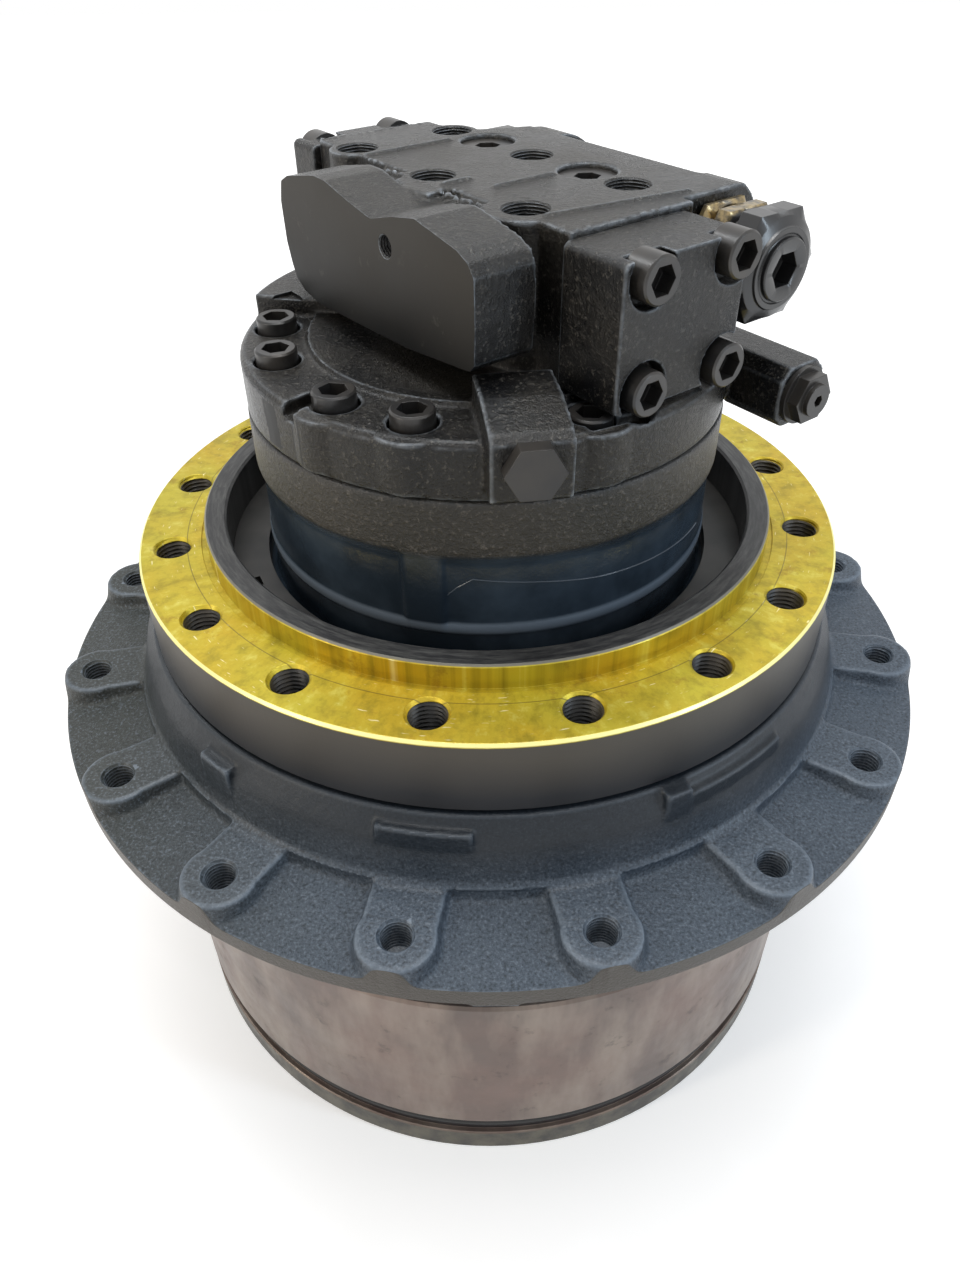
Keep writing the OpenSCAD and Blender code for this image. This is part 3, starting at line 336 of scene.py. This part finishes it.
def gold_flange():
    """Yellow zinc on the turned flange, black on the pilot and inside, brown on the skirt."""
    s = Shader("gold_flange")
    r, angle, z = s.polar()
    across, down = s.math("MULTIPLY", r, 1500), s.math("MULTIPLY", z, 900)
    grooves = s.vector(across, s.math("MULTIPLY", angle, 1.2), down)
    turned = s.noise(1.0, 4, 0.6, grooves)
    cloud = s.noise(11, 4, 0.6)
    stain = s.noise(46, 5, 0.7)
    reflection_streak = s.noise(1.0, 4, 0.7, s.vector(s.math("MULTIPLY", r, 60), s.math("MULTIPLY", angle, 16), 0.0))
    scratch = s.noise(1.0, 2, 0.5, s.vector(s.math("MULTIPLY", r, 700), s.math("MULTIPLY", angle, 22), 5.0))
    gold = s.mix(s.ramp(cloud, 0.38, 0.62), rgb(0.52, 0.36, 0.022), rgb(0.50, 0.42, 0.035))
    # Painted reflection: darker and lighter streaks across the zinc
    gold = s.mix(s.ramp(reflection_streak, 0.48, 0.72, 0, 0.8), gold, rgb(0.24, 0.19, 0.012))
    gold = s.mix(s.ramp(reflection_streak, 0.44, 0.30, 0, 0.7), gold, rgb(0.66, 0.60, 0.12))
    gold = s.mix(s.ramp(stain, 0.58, 0.70, 0, 0.6), gold, rgb(0.24, 0.12, 0.012))
    gold = s.mix(s.ramp(scratch, 0.68, 0.74, 0, 0.8), gold, rgb(0.85, 0.80, 0.45))
    line = s.math("MULTIPLY", s.step(r, 199.2, 0.4), s.step(r, 199.8, -0.4))
    gold = s.mix(s.math("MULTIPLY", line, 0.7), gold, rgb(0.10, 0.08, 0.02))
    black = s.math("MAXIMUM", s.step(r, 186, -0.4), s.step(z, -2.4, -0.4))
    height = s.math("ADD", z, s.math("MULTIPLY", s.noise(9, 3), 0.03))
    skirt = s.mix(s.step(height, -12.5, 35), rgb(0.013, 0.0135, 0.016), rgb(0.060, 0.050, 0.036))
    tar = s.noise(1.0, 4, 0.7, s.vector(s.math("MULTIPLY", r, 420), s.math("MULTIPLY", angle, 9), 0.0))
    ring = s.mix(s.ramp(tar, 0.42, 0.66), rgb(0.008, 0.008, 0.009), rgb(0.050, 0.050, 0.048))
    rim = s.math("MULTIPLY", s.step(z, 13, 1), s.step(r, 184.9, 0.6))
    ring = s.mix(s.math("MULTIPLY", rim, 0.7), ring, rgb(0.22, 0.21, 0.17))
    dark = s.mix(s.step(r, 200.5, 1), ring, skirt)
    color = s.mix(black, gold, dark)
    # Painted highlight: a bright band along the outer top corner of the flange
    corner = s.math("MULTIPLY", s.step(r, 228.55, 0.3), s.step(z, -1.9, 0.6))
    color = s.mix(corner, color, rgb(0.95, 0.88, 0.36))
    metal = s.ramp(black, 0, 1, 0.55, 0.0)
    rough = s.math("ADD", s.math("MULTIPLY", metal, s.ramp(stain, 0.35, 0.7, -0.12, 0.10)), 0.40)
    normal = s.bump(turned, 0.00006, 0.6, s.round_edges(0.0005))
    normal = s.bump(stain, 0.0003, 0.3, normal)
    normal = s.bump(tar, 0.0004, s.ramp(black, 0, 1, 0.0, 0.5), normal)
    return s.surface(color, rough, metal, normal)


def bare_thread():
    """Bright cut steel inside the tapped holes."""
    s = Shader("bare_thread")
    normal = s.bump(s.noise(900, 3, 0.6), 0.00012, 0.5)
    color = s.mix(s.ramp(s.noise(60, 3), 0.35, 0.65), rgb(0.42, 0.41, 0.39), rgb(0.68, 0.67, 0.66))
    return s.surface(color, 0.34, 1.0, normal)


def black_screw():
    """Blackened socket screws."""
    s = Shader("black_screw")
    normal = s.bump(s.noise(500, 3, 0.6), 0.00012, 0.35, s.round_edges(0.0006))
    color = s.mix(s.ramp(s.noise(40, 3), 0.35, 0.65), rgb(0.022, 0.022, 0.023), rgb(0.050, 0.045, 0.040))
    return s.surface(color, 0.3, 0.35, normal, specular=0.7)


def plated_valve():
    """Worn gold plating near the valve body and black paint further out."""
    s = Shader("valve_body_steel")
    x, y = s.place()[:2]
    u = s.math("ADD", s.math("MULTIPLY", x, math.cos(BLOCK_AZ)), s.math("MULTIPLY", y, math.sin(BLOCK_AZ)))
    painted = s.step(s.math("ABSOLUTE", s.math("ADD", u, 0.002)), 113, 1)
    wear_and_edge_highlight = s.noise(150, 4, 0.65)
    gold = s.mix(s.ramp(wear_and_edge_highlight, 0.42, 0.62), rgb(0.36, 0.27, 0.13), rgb(0.08, 0.07, 0.055))
    color = s.mix(painted, gold, rgb(0.014, 0.014, 0.015))
    normal = s.bump(wear_and_edge_highlight, 0.0002, 0.4, s.round_edges(0.0007))
    return s.surface(color, 0.28, s.ramp(painted, 0, 1, 0.8, 0.0), normal, coat=0.2)


def steel(name, low, high, roughness, metallic=1.0, edge=0.0004):
    """A plain surface between two colours, with softened edges."""
    s = Shader(name)
    normal = s.bump(s.noise(420, 3, 0.6), 0.0001, 0.3, s.round_edges(edge))
    color = s.mix(s.ramp(s.noise(30, 3), 0.35, 0.65), rgb(*low), rgb(*high))
    return s.surface(color, roughness, metallic, normal)


casting = black_casting()
finishes = {
    "gold_flange": gold_flange(),
    "black_casting": casting,
    "dark_casting": dark_casting(),
    "drum_steel": drum_steel(),
    "black_screw": black_screw(),
    "valve_body_steel": plated_valve(),
    "plug_steel": steel("plug_steel", (0.014, 0.014, 0.015), (0.035, 0.031, 0.027), 0.3, 0.1, 0.0007),
    "lock_ring_steel": steel("lock_ring_steel", (0.020, 0.020, 0.020), (0.045, 0.043, 0.040), 0.45, 0.3),
    "bearing_steel": steel("bearing_steel", (0.52, 0.52, 0.54), (0.64, 0.64, 0.65), 0.2),
    "gear_steel": steel("gear_steel", (0.40, 0.40, 0.42), (0.52, 0.52, 0.54), 0.3),
    "carrier_iron": steel("carrier_iron", (0.12, 0.12, 0.125), (0.20, 0.20, 0.205), 0.5, 0.6),
    "motor_steel": steel("motor_steel", (0.46, 0.46, 0.48), (0.58, 0.58, 0.60), 0.25),
    "bronze": steel("bronze", (0.50, 0.38, 0.18), (0.62, 0.50, 0.26), 0.35),
    "friction_lining": steel("friction_lining", (0.20, 0.14, 0.08), (0.30, 0.22, 0.13), 0.6, 0.4),
    "spring_steel": steel("spring_steel", (0.10, 0.11, 0.13), (0.18, 0.19, 0.22), 0.35),
    "seal_rubber": steel("seal_rubber", (0.012, 0.012, 0.012), (0.02, 0.02, 0.02), 0.6, 0.0),
}
thread_finish = bare_thread()
pad_finish = pad_paint()
motor_finish = motor_casting()

for part in frame["record"]["subparts"]:
    mesh = nodes[part["node"]].data
    mesh.materials.clear()
    mesh.materials.append(finishes[part["material_slot"]])

# Mesh tools, in millimetres


def make_object(name, verts, faces, materials=()):
    """An object from points in millimetres."""
    mesh = bpy.data.meshes.new(name)
    mesh.from_pydata([(x * MM, y * MM, z * MM) for x, y, z in verts], [], faces)
    for m in materials:
        mesh.materials.append(m)
    obj = bpy.data.objects.new(name, mesh)
    bpy.context.scene.collection.objects.link(obj)
    return obj


def weld(obj, distance=1e-6):
    """Joins points that coincide and turns the faces outward."""
    bm = bmesh.new()
    bm.from_mesh(obj.data)
    bmesh.ops.remove_doubles(bm, verts=bm.verts, dist=distance)
    bmesh.ops.recalc_face_normals(bm, faces=bm.faces)
    bm.to_mesh(obj.data)
    bm.free()
    return obj


def lathe(name, profile, place, steps):
    """A closed solid turned from points (radius, height) that start and end on the axis."""
    verts, faces = [], []
    n = len(profile)
    for k in range(steps):
        a = 2 * math.pi * k / steps
        verts += [(r * math.cos(a), r * math.sin(a), z) for r, z in profile]
    for k in range(steps):
        j = (k + 1) % steps
        faces += [(k * n + i, j * n + i, j * n + i + 1, k * n + i + 1) for i in range(n - 1)]
    obj = weld(make_object(name, verts, faces))
    obj.data.transform(place)
    return obj


def plug(radius, low, high, place, steps):
    """A cylinder that fills a hole, so that a rounded casting can be drilled again."""
    return lathe("fill", [(0, low), (radius, low), (radius, high), (0, high)], place, steps)


def ring(name, profile, steps):
    """A closed solid turned from a closed outline of points (radius, height)."""
    verts, faces = [], []
    n = len(profile)
    for k in range(steps):
        a = 2 * math.pi * k / steps
        verts += [(r * math.cos(a), r * math.sin(a), z) for r, z in profile]
    for k in range(steps):
        j = (k + 1) % steps
        faces += [(k * n + i, j * n + i, j * n + (i + 1) % n, k * n + (i + 1) % n) for i in range(n)]
    return weld(make_object(name, verts, faces))


# Threads: crest radius, root radius, pitch
M12, M20, M24, G34 = (5.2, 6.1, 1.75), (8.65, 10.0, 2.5), (10.4, 12.0, 3.0), (12.1, 13.1, 1.81)


def thread(name, size, depth, mouth, place, steps=36):
    """The inside of a tapped hole that opens at height 0 and runs down, with a countersunk mouth."""
    minor, major, pitch = size
    rows = [3.0, 0.6] + [-i * pitch / 6 for i in range(int(depth * 6 / pitch) + 1)]
    verts, faces = [], []
    for z in rows:
        for k in range(steps):
            turn = (z / pitch + k / steps) % 1
            r = minor + (major - minor) * (1 - abs(2 * turn - 1))
            r = max(r, mouth + min(z, 0)) if z < 0 else mouth
            a = 2 * math.pi * k / steps
            verts.append((r * math.cos(a), r * math.sin(a), z))
    for i in range(len(rows) - 1):
        for k in range(steps):
            j = (k + 1) % steps
            faces.append((i * steps + k, i * steps + j, (i + 1) * steps + j, (i + 1) * steps + k))
    faces.append(tuple(range(steps)))
    last = (len(rows) - 1) * steps
    faces.append(tuple(last + k for k in reversed(range(steps))))
    obj = make_object(name, verts, faces)
    obj.data.transform(place)
    return weld(obj)


def box(name, low, high, place):
    """A box between two corners."""
    x0, y0, z0 = low
    x1, y1, z1 = high
    verts = [(x, y, z) for z in (z0, z1) for y in (y0, y1) for x in (x0, x1)]
    faces = [(0, 2, 3, 1), (4, 5, 7, 6), (0, 1, 5, 4), (2, 6, 7, 3), (0, 4, 6, 2), (1, 3, 7, 5)]
    obj = make_object(name, verts, faces)
    obj.data.transform(place)
    return obj


def prism(name, outline, low, high, place=None):
    """An outline of points (x, y) between two heights."""
    n = len(outline)
    verts = [(x, y, low) for x, y in outline] + [(x, y, high) for x, y in outline]
    faces = [tuple(reversed(range(n))), tuple(range(n, 2 * n))]
    faces += [(i, (i + 1) % n, n + (i + 1) % n, n + i) for i in range(n)]
    obj = make_object(name, verts, faces)
    if place is not None:
        obj.data.transform(place)
    return weld(obj)


def at(x, y, z, turn=0.0, tilt=None):
    """A placing matrix in metres from millimetres: a turn about Z, then a tilt matrix inside it."""
    m = Matrix.Translation((x * MM, y * MM, z * MM)) @ Matrix.Rotation(turn, 4, "Z")
    return m @ tilt if tilt is not None else m


def block_at(u, w, z, tilt=None):
    """The same in the valve body's own directions."""
    x = u * math.cos(BLOCK_AZ) - w * math.sin(BLOCK_AZ)
    y = u * math.sin(BLOCK_AZ) + w * math.cos(BLOCK_AZ)
    return at(x, y, z, BLOCK_AZ, tilt)


def join(name, objects):
    """One object from several meshes; they may overlap."""
    bm = bmesh.new()
    for o in objects:
        bm.from_mesh(o.data)
    mesh = bpy.data.meshes.new(name)
    bm.to_mesh(mesh)
    bm.free()
    for o in objects:
        bpy.data.objects.remove(o)
    obj = bpy.data.objects.new(name, mesh)
    bpy.context.scene.collection.objects.link(obj)
    return obj


def applied(obj):
    """The object with its modifiers applied."""
    graph = bpy.context.evaluated_depsgraph_get()
    mesh = bpy.data.meshes.new_from_object(obj.evaluated_get(graph))
    obj.modifiers.clear()
    obj.data = mesh
    return obj


def node_copy(node):
    """A loose copy of a CAD node's mesh, with its doubled points welded."""
    obj = bpy.data.objects.new(node + "_copy", nodes[node].data.copy())
    bpy.context.scene.collection.objects.link(obj)
    return weld(obj, 2e-6)


def raw_casting(name, solids, voxel, rounds):
    """The solids as one casting, with every edge and corner rounded."""
    obj = join(name, solids)
    remesh = obj.modifiers.new("skin", "REMESH")
    remesh.mode = "VOXEL"
    remesh.voxel_size = voxel * MM
    applied(obj)
    smooth = obj.modifiers.new("round", "SMOOTH")
    smooth.factor = 0.5
    smooth.iterations = rounds
    return applied(obj)


def cut(obj, cutters):
    """Machines the cutters out of the object; their faces take its second material."""
    tool = join("cutters", cutters)
    for p in tool.data.polygons:
        p.material_index = 1
    m = obj.modifiers.new("machining", "BOOLEAN")
    m.operation = "DIFFERENCE"
    m.solver = "MANIFOLD"
    m.object = tool
    applied(obj)
    bpy.data.objects.remove(tool)
    return obj


def finish(obj, materials, body, replaced, angle=32):
    """Shades, paints and hangs a finished piece on its body in place of a CAD node."""
    obj.data.materials.clear()
    for m in materials:
        obj.data.materials.append(m)
    bm = bmesh.new()
    bm.from_mesh(obj.data)
    limit = math.radians(angle)
    for f in bm.faces:
        f.smooth = True
    for e in bm.edges:
        e.smooth = len(e.link_faces) == 2 and e.calc_face_angle(0) < limit
    bm.to_mesh(obj.data)
    bm.free()
    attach(obj, body)
    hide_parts(*replaced)
    return obj


# Hub with the sprocket flange

SPROCKET_N, SPROCKET_R, HOLE_CR, PHASE = 16, 301.5, 280.0, 12.3
FLANGE_TOP, FLANGE_LOW = -95.0, -119.0
POCKET_DEPTH, POCKET_FALL, POCKET_R0, POCKET_R1 = 8, 6.5, 249, 320
BOSS_R, BOSS_DRAFT = 21.97, 17 / 4


def flange_height(r, a):
    """Height of the flange's upper side at a radius and an angle in degrees."""
    floor = FLANGE_TOP - POCKET_DEPTH - POCKET_FALL * (r - POCKET_R0) / (POCKET_R1 - POCKET_R0)
    step = 360 / SPROCKET_N
    off = math.radians((a - PHASE + step / 2) % step - step / 2)
    x, y = r * math.cos(off) - HOLE_CR, r * math.sin(off)
    d = math.hypot(x, y)
    return max(floor, min(FLANGE_TOP, FLANGE_TOP - (d - BOSS_R) * BOSS_DRAFT))


def flange_rim():
    """A strip of the flange that reaches past the rim, so that turning leaves a sharp corner."""
    steps, radii = 2880, [298, 300, 302, 304, 306]
    verts, faces = [], []
    n = 2 * len(radii)
    for k in range(steps):
        a = 360 * k / steps
        c, s = math.cos(math.radians(a)), math.sin(math.radians(a))
        verts += [(r * c, r * s, flange_height(r, a)) for r in radii]
        verts += [(r * c, r * s, FLANGE_LOW) for r in reversed(radii)]
    for k in range(steps):
        j = (k + 1) % steps
        faces += [(k * n + i, j * n + i, j * n + (i + 1) % n, k * n + (i + 1) % n) for i in range(n)]
    return weld(make_object("rim", verts, faces))


def hub_casting():
    """The sprocket flange and its neck, rounded as cast, with a turned rim and 16 tapped holes."""
    solids = [node_copy("hub"), flange_rim()]
    tools = [ring("rim_turning", [(SPROCKET_R, -80), (SPROCKET_R, -125), (312, -125), (312, -80)], 720)]
    for i in range(SPROCKET_N):
        a = math.radians(PHASE + i * 360 / SPROCKET_N)
        x, y = HOLE_CR * math.cos(a), HOLE_CR * math.sin(a)
        solids.append(plug(12, FLANGE_LOW, FLANGE_TOP, at(x, y, 0), 32))
        tools.append(thread("tap", M20, 27, 10.6, at(x, y, FLANGE_TOP, a)))
    obj = raw_casting("hub_casting", solids, 1.5, 3)
    cut(obj, tools)
    return finish(obj, [finishes["dark_casting"], thread_finish], "hub", ["hub"])


# Frame flange

FRAME_N, FRAME_CR, FRAME_PHASE = 16, 208.5, 13.8


def frame_flange():
    """The frame housing with threads cut into its 16 holes."""
    obj = node_copy("frame_housing")
    tools = []
    for i in range(FRAME_N):
        a = math.radians(FRAME_PHASE + i * 360 / FRAME_N)
        x, y = FRAME_CR * math.cos(a), FRAME_CR * math.sin(a)
        tools.append(thread("tap", M24, 36, 12.6, at(x, y, 0, a), 40))
    cut(obj, tools)
    materials = [finishes["gold_flange"], thread_finish]
    return finish(obj, materials, "housing", ["frame_housing"], 28)


# Rear casing with the valve body

# The valve body's directions are u along the spool, w across it and z up
PORT_Z = 205.0
PORTS = [(u, w) for u in (-114, -32, 51) for w in (-11.5, 60.5)]
PAD = [(-60, 137.7), (30.5, 140.7), (88, 147), (92, 151), (93, 169.5), (92.7, 193.7), (88.2, 199.8),
       (79.7, 203.6), (63.7, 206.6), (44.6, 210), (24.8, 206.5), (3.3, 200.8), (-18.8, 205), (-41.7, 210.3),
       (-53.6, 210.6), (-84.8, 204.6), (-93.3, 200.3), (-96.6, 188.7), (-95.6, 166.2), (-92, 154),
       (-88.4, 146.7), (-80, 141), (-68.2, 138.5)]
FACE_W = -76.0
PAD_TAP_U, PAD_TAP_Z = 16.2, 189.9
BEAD_STEP, BEAD_STRAY = 2.6, 1.6


def casting_beads():
    """Small lumps of sand and slag along the ridges of the port face and beside the caps."""
    rows = [((-93, -19), (-30, -19)), ((-12, -19), (7, -19)), ((10, 0), (52, 0)), ((68, -13), (88, -16)),
            ((92, -18), (94, 56)), ((-147, -18), (-145, 56)), ((-60, -24), (40, -27))]
    solids = []
    for (u0, w0), (u1, w1) in rows:
        count = int(math.hypot(u1 - u0, w1 - w0) / BEAD_STEP)
        for i in range(count):
            t = (i + random.random()) / count
            r = random.uniform(0.9, 2.1)
            u = u0 + (u1 - u0) * t + random.uniform(-BEAD_STRAY, BEAD_STRAY)
            w = w0 + (w1 - w0) * t + random.uniform(-BEAD_STRAY, BEAD_STRAY)
            profile = [(0, -r), (0.85 * r, -0.5 * r), (r, 0), (0.7 * r, 0.55 * r), (0, 0.7 * r)]
            solids.append(lathe("bead", profile, block_at(u, w, PORT_Z - 0.35 * r), 7))
    return solids


def rear_body():
    """The rear casing with the valve body: cast, then the pad faced and the holes tapped."""
    facing = Matrix.Rotation(math.pi / 2, 4, "X")
    solids = [node_copy("rear_casing")]
    # Outline of the pad carried past its face, which the first cut leaves flat and sharp
    solids.append(prism("pad_stock", PAD, -2, 6, block_at(0, FACE_W, 0, facing)))
    cutter = box("pad_facing", (-99, FACE_W - 20, 133), (96, FACE_W, 230), block_at(0, 0, 0))
    tools = []
    for u, w in PORTS:
        solids.append(plug(14.5, 150, PORT_Z, block_at(u, w, 0), 32))
        tools.append(thread("port", G34, 26, 13.5, block_at(u, w, PORT_Z)))
    pad_tap = block_at(PAD_TAP_U, FACE_W, PAD_TAP_Z, facing)
    solids.append(plug(7, -30, 6, pad_tap, 24))
    tools.append(thread("pad_tap", M12, 24, 6.3, pad_tap, 28))
    obj = raw_casting("rear_body", solids + casting_beads(), 1.2, 3)
    cut(obj, [cutter])
    cut(obj, tools)
    finish(obj, [casting, thread_finish, pad_finish], "housing", ["rear_casing"])
    # The faced pad has its own finish
    normal = Vector((math.sin(BLOCK_AZ), -math.cos(BLOCK_AZ), 0))
    for p in obj.data.polygons:
        if p.normal.dot(normal) > 0.999 and p.center.dot(normal) > (-FACE_W - 0.1) * MM:
            p.material_index = 2
            p.use_smooth = False
    return obj


# Motor casing

# The parting line's points: angle in degrees and height
PARTING = [(-99, 28), (-96.5, 34), (-93, 40), (-78, 36), (-64, 31), (-45, 27), (-25, 22)]
PARTING_R = 143.4


def sector(name, a0, a1, inner, outer, low, high):
    """A piece of a ring between two angles in degrees."""
    turns = [math.radians(a0 + (a1 - a0) * i / 8) for i in range(9)]
    outline = [(outer * math.cos(a), outer * math.sin(a)) for a in turns]
    outline += [(inner * math.cos(a), inner * math.sin(a)) for a in reversed(turns)]
    return prism(name, outline, low, high)


def tube(name, points, radius, steps=8):
    """A thin closed tube along points."""
    points = [Vector(p) for p in points]
    verts, faces = [], []
    for i, p in enumerate(points):
        along = (points[min(i + 1, len(points) - 1)] - points[max(i - 1, 0)]).normalized()
        side = along.cross(Vector((0.3, 0.2, 0.93))).normalized()
        up = side.cross(along)
        for k in range(steps):
            a = 2 * math.pi * k / steps
            verts.append(tuple(p + radius * (math.cos(a) * side + math.sin(a) * up)))
    for i in range(len(points) - 1):
        for k in range(steps):
            j = (k + 1) % steps
            faces.append((i * steps + k, i * steps + j, (i + 1) * steps + j, (i + 1) * steps + k))
    faces.append(tuple(range(steps)))
    faces.append(tuple((len(points) - 1) * steps + k for k in reversed(range(steps))))
    return weld(make_object(name, verts, faces))


def between(points, count):
    """Evenly many points along a path of straight stretches."""
    out = []
    for p, q in zip(points, points[1:]):
        out += [tuple(a + (b - a) * i / count for a, b in zip(p, q)) for i in range(count)]
    return out + [tuple(points[-1])]


def motor_body():
    """The motor casing, rounded as cast, with a raised column and the line where the mould parted."""
    column = sector("column", -108.5, -99.5, 138, 146.2, 4, 60)
    path = [(math.radians(a), z) for a, z in between(PARTING, 8)]
    line = [(PARTING_R * math.cos(a), PARTING_R * math.sin(a), z) for a, z in path]
    obj = raw_casting("motor_body", [node_copy("motor_casing"), column], 1.7, 4)
    obj = join("motor_body", [obj, tube("parting_line", line, 0.5)])
    return finish(obj, [motor_finish], "housing", ["motor_casing"])


# Spool caps


def spool_cap(node):
    """An end cap of the spool bore, rounded as cast."""
    obj = raw_casting(node + "_casting", [node_copy(node)], 0.9, 4)
    return finish(obj, [casting], "housing", [node])


# Valves and plugs with chamfered hexagons


def turned_hex(name, rows, place, steps):
    """A turned solid whose rows (radius, height, width across flats or 0) may be cut to a hexagon."""
    verts, faces = [], []
    n = len(rows)
    for k in range(steps):
        a = 2 * math.pi * k / steps
        off = (a + math.pi / 6) % (math.pi / 3) - math.pi / 6
        for r, z, flats in rows:
            r = min(r, flats / 2 / math.cos(off)) if flats else r
            verts.append((r * math.cos(a), r * math.sin(a), z))
    for k in range(steps):
        j = (k + 1) % steps
        faces += [(k * n + i, j * n + i, j * n + i + 1, k * n + i + 1) for i in range(n - 1)]
    obj = weld(make_object(name, verts, faces))
    obj.data.transform(place)
    return obj


def hexagon(flats, low, high):
    """Rows of a hexagon with both ends chamfered to a circle."""
    corner, face = flats / math.sqrt(3), flats * 0.475
    drop = (corner - face) * 0.5
    return [(face, low, 0), (corner, low + drop, flats), (corner, high - drop, flats), (face, high, 0)]


def relief_valve(node, u, w, z):
    """Two worn gold hexagons, a black collar and a large black cap with a hexagon socket."""
    rows = [(0, -1, 0), (15, -1, 0)] + hexagon(50, 0.2, 8)
    rows += [(20.6, 8.3, 0), (20.6, 10.6, 0)] + hexagon(50, 11, 23.6)
    rows += [(22.5, 24, 0), (24, 24.6, 0), (24, 26.6, 0), (23, 27, 0)] + hexagon(55, 27.4, 45.8)
    rows += [(25.2, 46.2, 0), (21.5, 47.6, 0), (21, 49, 0), (18.2, 49, 0), (17.6, 48.2, 0), (16.5, 48.6, 0),
             (16.5, 50.9, 0), (15.9, 51.5, 0), (11, 51.5, 0), (9.9, 50.6, 17), (9.9, 41, 17), (0, 39, 0)]
    turn = Matrix.Rotation(math.pi / 2, 4, "Y")
    obj = turned_hex(node + "_body", rows, block_at(u, w, z, turn), 120)
    return finish(obj, [finishes["valve_body_steel"]], "housing", [node], 28)


hub_casting()
frame_flange()
rear_body()
motor_body()
spool_cap("front_spool_cap")
spool_cap("rear_spool_cap")
relief_valve("front_relief_valve", 89, 92, 175)

# Floor, world and lights


def light_path(tree):
    """1 for camera, glossy and transmission rays, which see the white background, or else 0."""
    path = tree.nodes.new("ShaderNodeLightPath")
    seen = path.outputs["Is Camera Ray"]
    for kind in ("Is Glossy Ray", "Is Transmission Ray"):
        either = tree.nodes.new("ShaderNodeMath")
        either.operation = "MAXIMUM"
        tree.links.new(seen, either.inputs[0])
        tree.links.new(path.outputs[kind], either.inputs[1])
        seen = either.outputs[0]
    return seen


def floor(z, reach=6000):
    """A pale floor that shows white but still takes the drive's shadow."""
    verts = [(-reach, -reach, z), (reach, -reach, z), (reach, reach, z), (-reach, reach, z)]
    s = Shader("floor")
    seen = light_path(s.tree)
    diffuse = s.tree.nodes.new("ShaderNodeBsdfDiffuse")
    diffuse.inputs["Color"].default_value = rgb(0.80, 0.80, 0.80)
    glow = s.tree.nodes.new("ShaderNodeEmission")
    r = s.polar()[0]
    s.link(s.math("MULTIPLY", seen, s.ramp(r, 0.6, 2.0, 0.45, 1.0)), glow.inputs["Strength"])
    add = s.tree.nodes.new("ShaderNodeAddShader")
    s.tree.links.new(diffuse.outputs[0], add.inputs[0])
    s.tree.links.new(glow.outputs[0], add.inputs[1])
    s.tree.links.new(add.outputs[0], s.out.inputs[0])
    make_object("floor", verts, [(0, 1, 2, 3)], [s.material])


def world():
    """White to look at, and a dim even light on the object."""
    w = bpy.data.worlds.new("world")
    bpy.context.scene.world = w
    w.use_nodes = True
    t = w.node_tree
    t.nodes.clear()
    out = t.nodes.new("ShaderNodeOutputWorld")
    back = t.nodes.new("ShaderNodeBackground")
    back.inputs["Color"].default_value = rgb(1, 1, 1)
    seen = light_path(t)
    level = t.nodes.new("ShaderNodeMapRange")
    t.links.new(seen, level.inputs[0])
    level.inputs[3].default_value = 0.36
    level.inputs[4].default_value = 1.0
    t.links.new(level.outputs[0], back.inputs["Strength"])
    t.links.new(back.outputs[0], out.inputs[0])


floor(cad_box[0][2] / MM - 0.05)
world()
make_camera()
area_light("overhead", (0.0, -0.1, 1.6), (0.9, 0.8), 13, (1.0, 0.99, 0.97))
area_light("tube_left", (-0.50, 0.3, 1.4), (0.08, 1.4), 8, (0.93, 0.97, 1.0))
area_light("tube_right", (0.35, 0.5, 1.4), (0.08, 1.4), 4, (0.84, 0.93, 1.0))
area_light("warm_left", (-1.4, -0.9, 0.6), (0.20, 1.2), 9, (1.0, 0.90, 0.76))
area_light("cool_right", (1.3, -0.7, 0.6), (0.18, 1.1), 8, (0.72, 0.86, 1.0))
bpy.context.scene.view_settings.view_transform = "Standard"
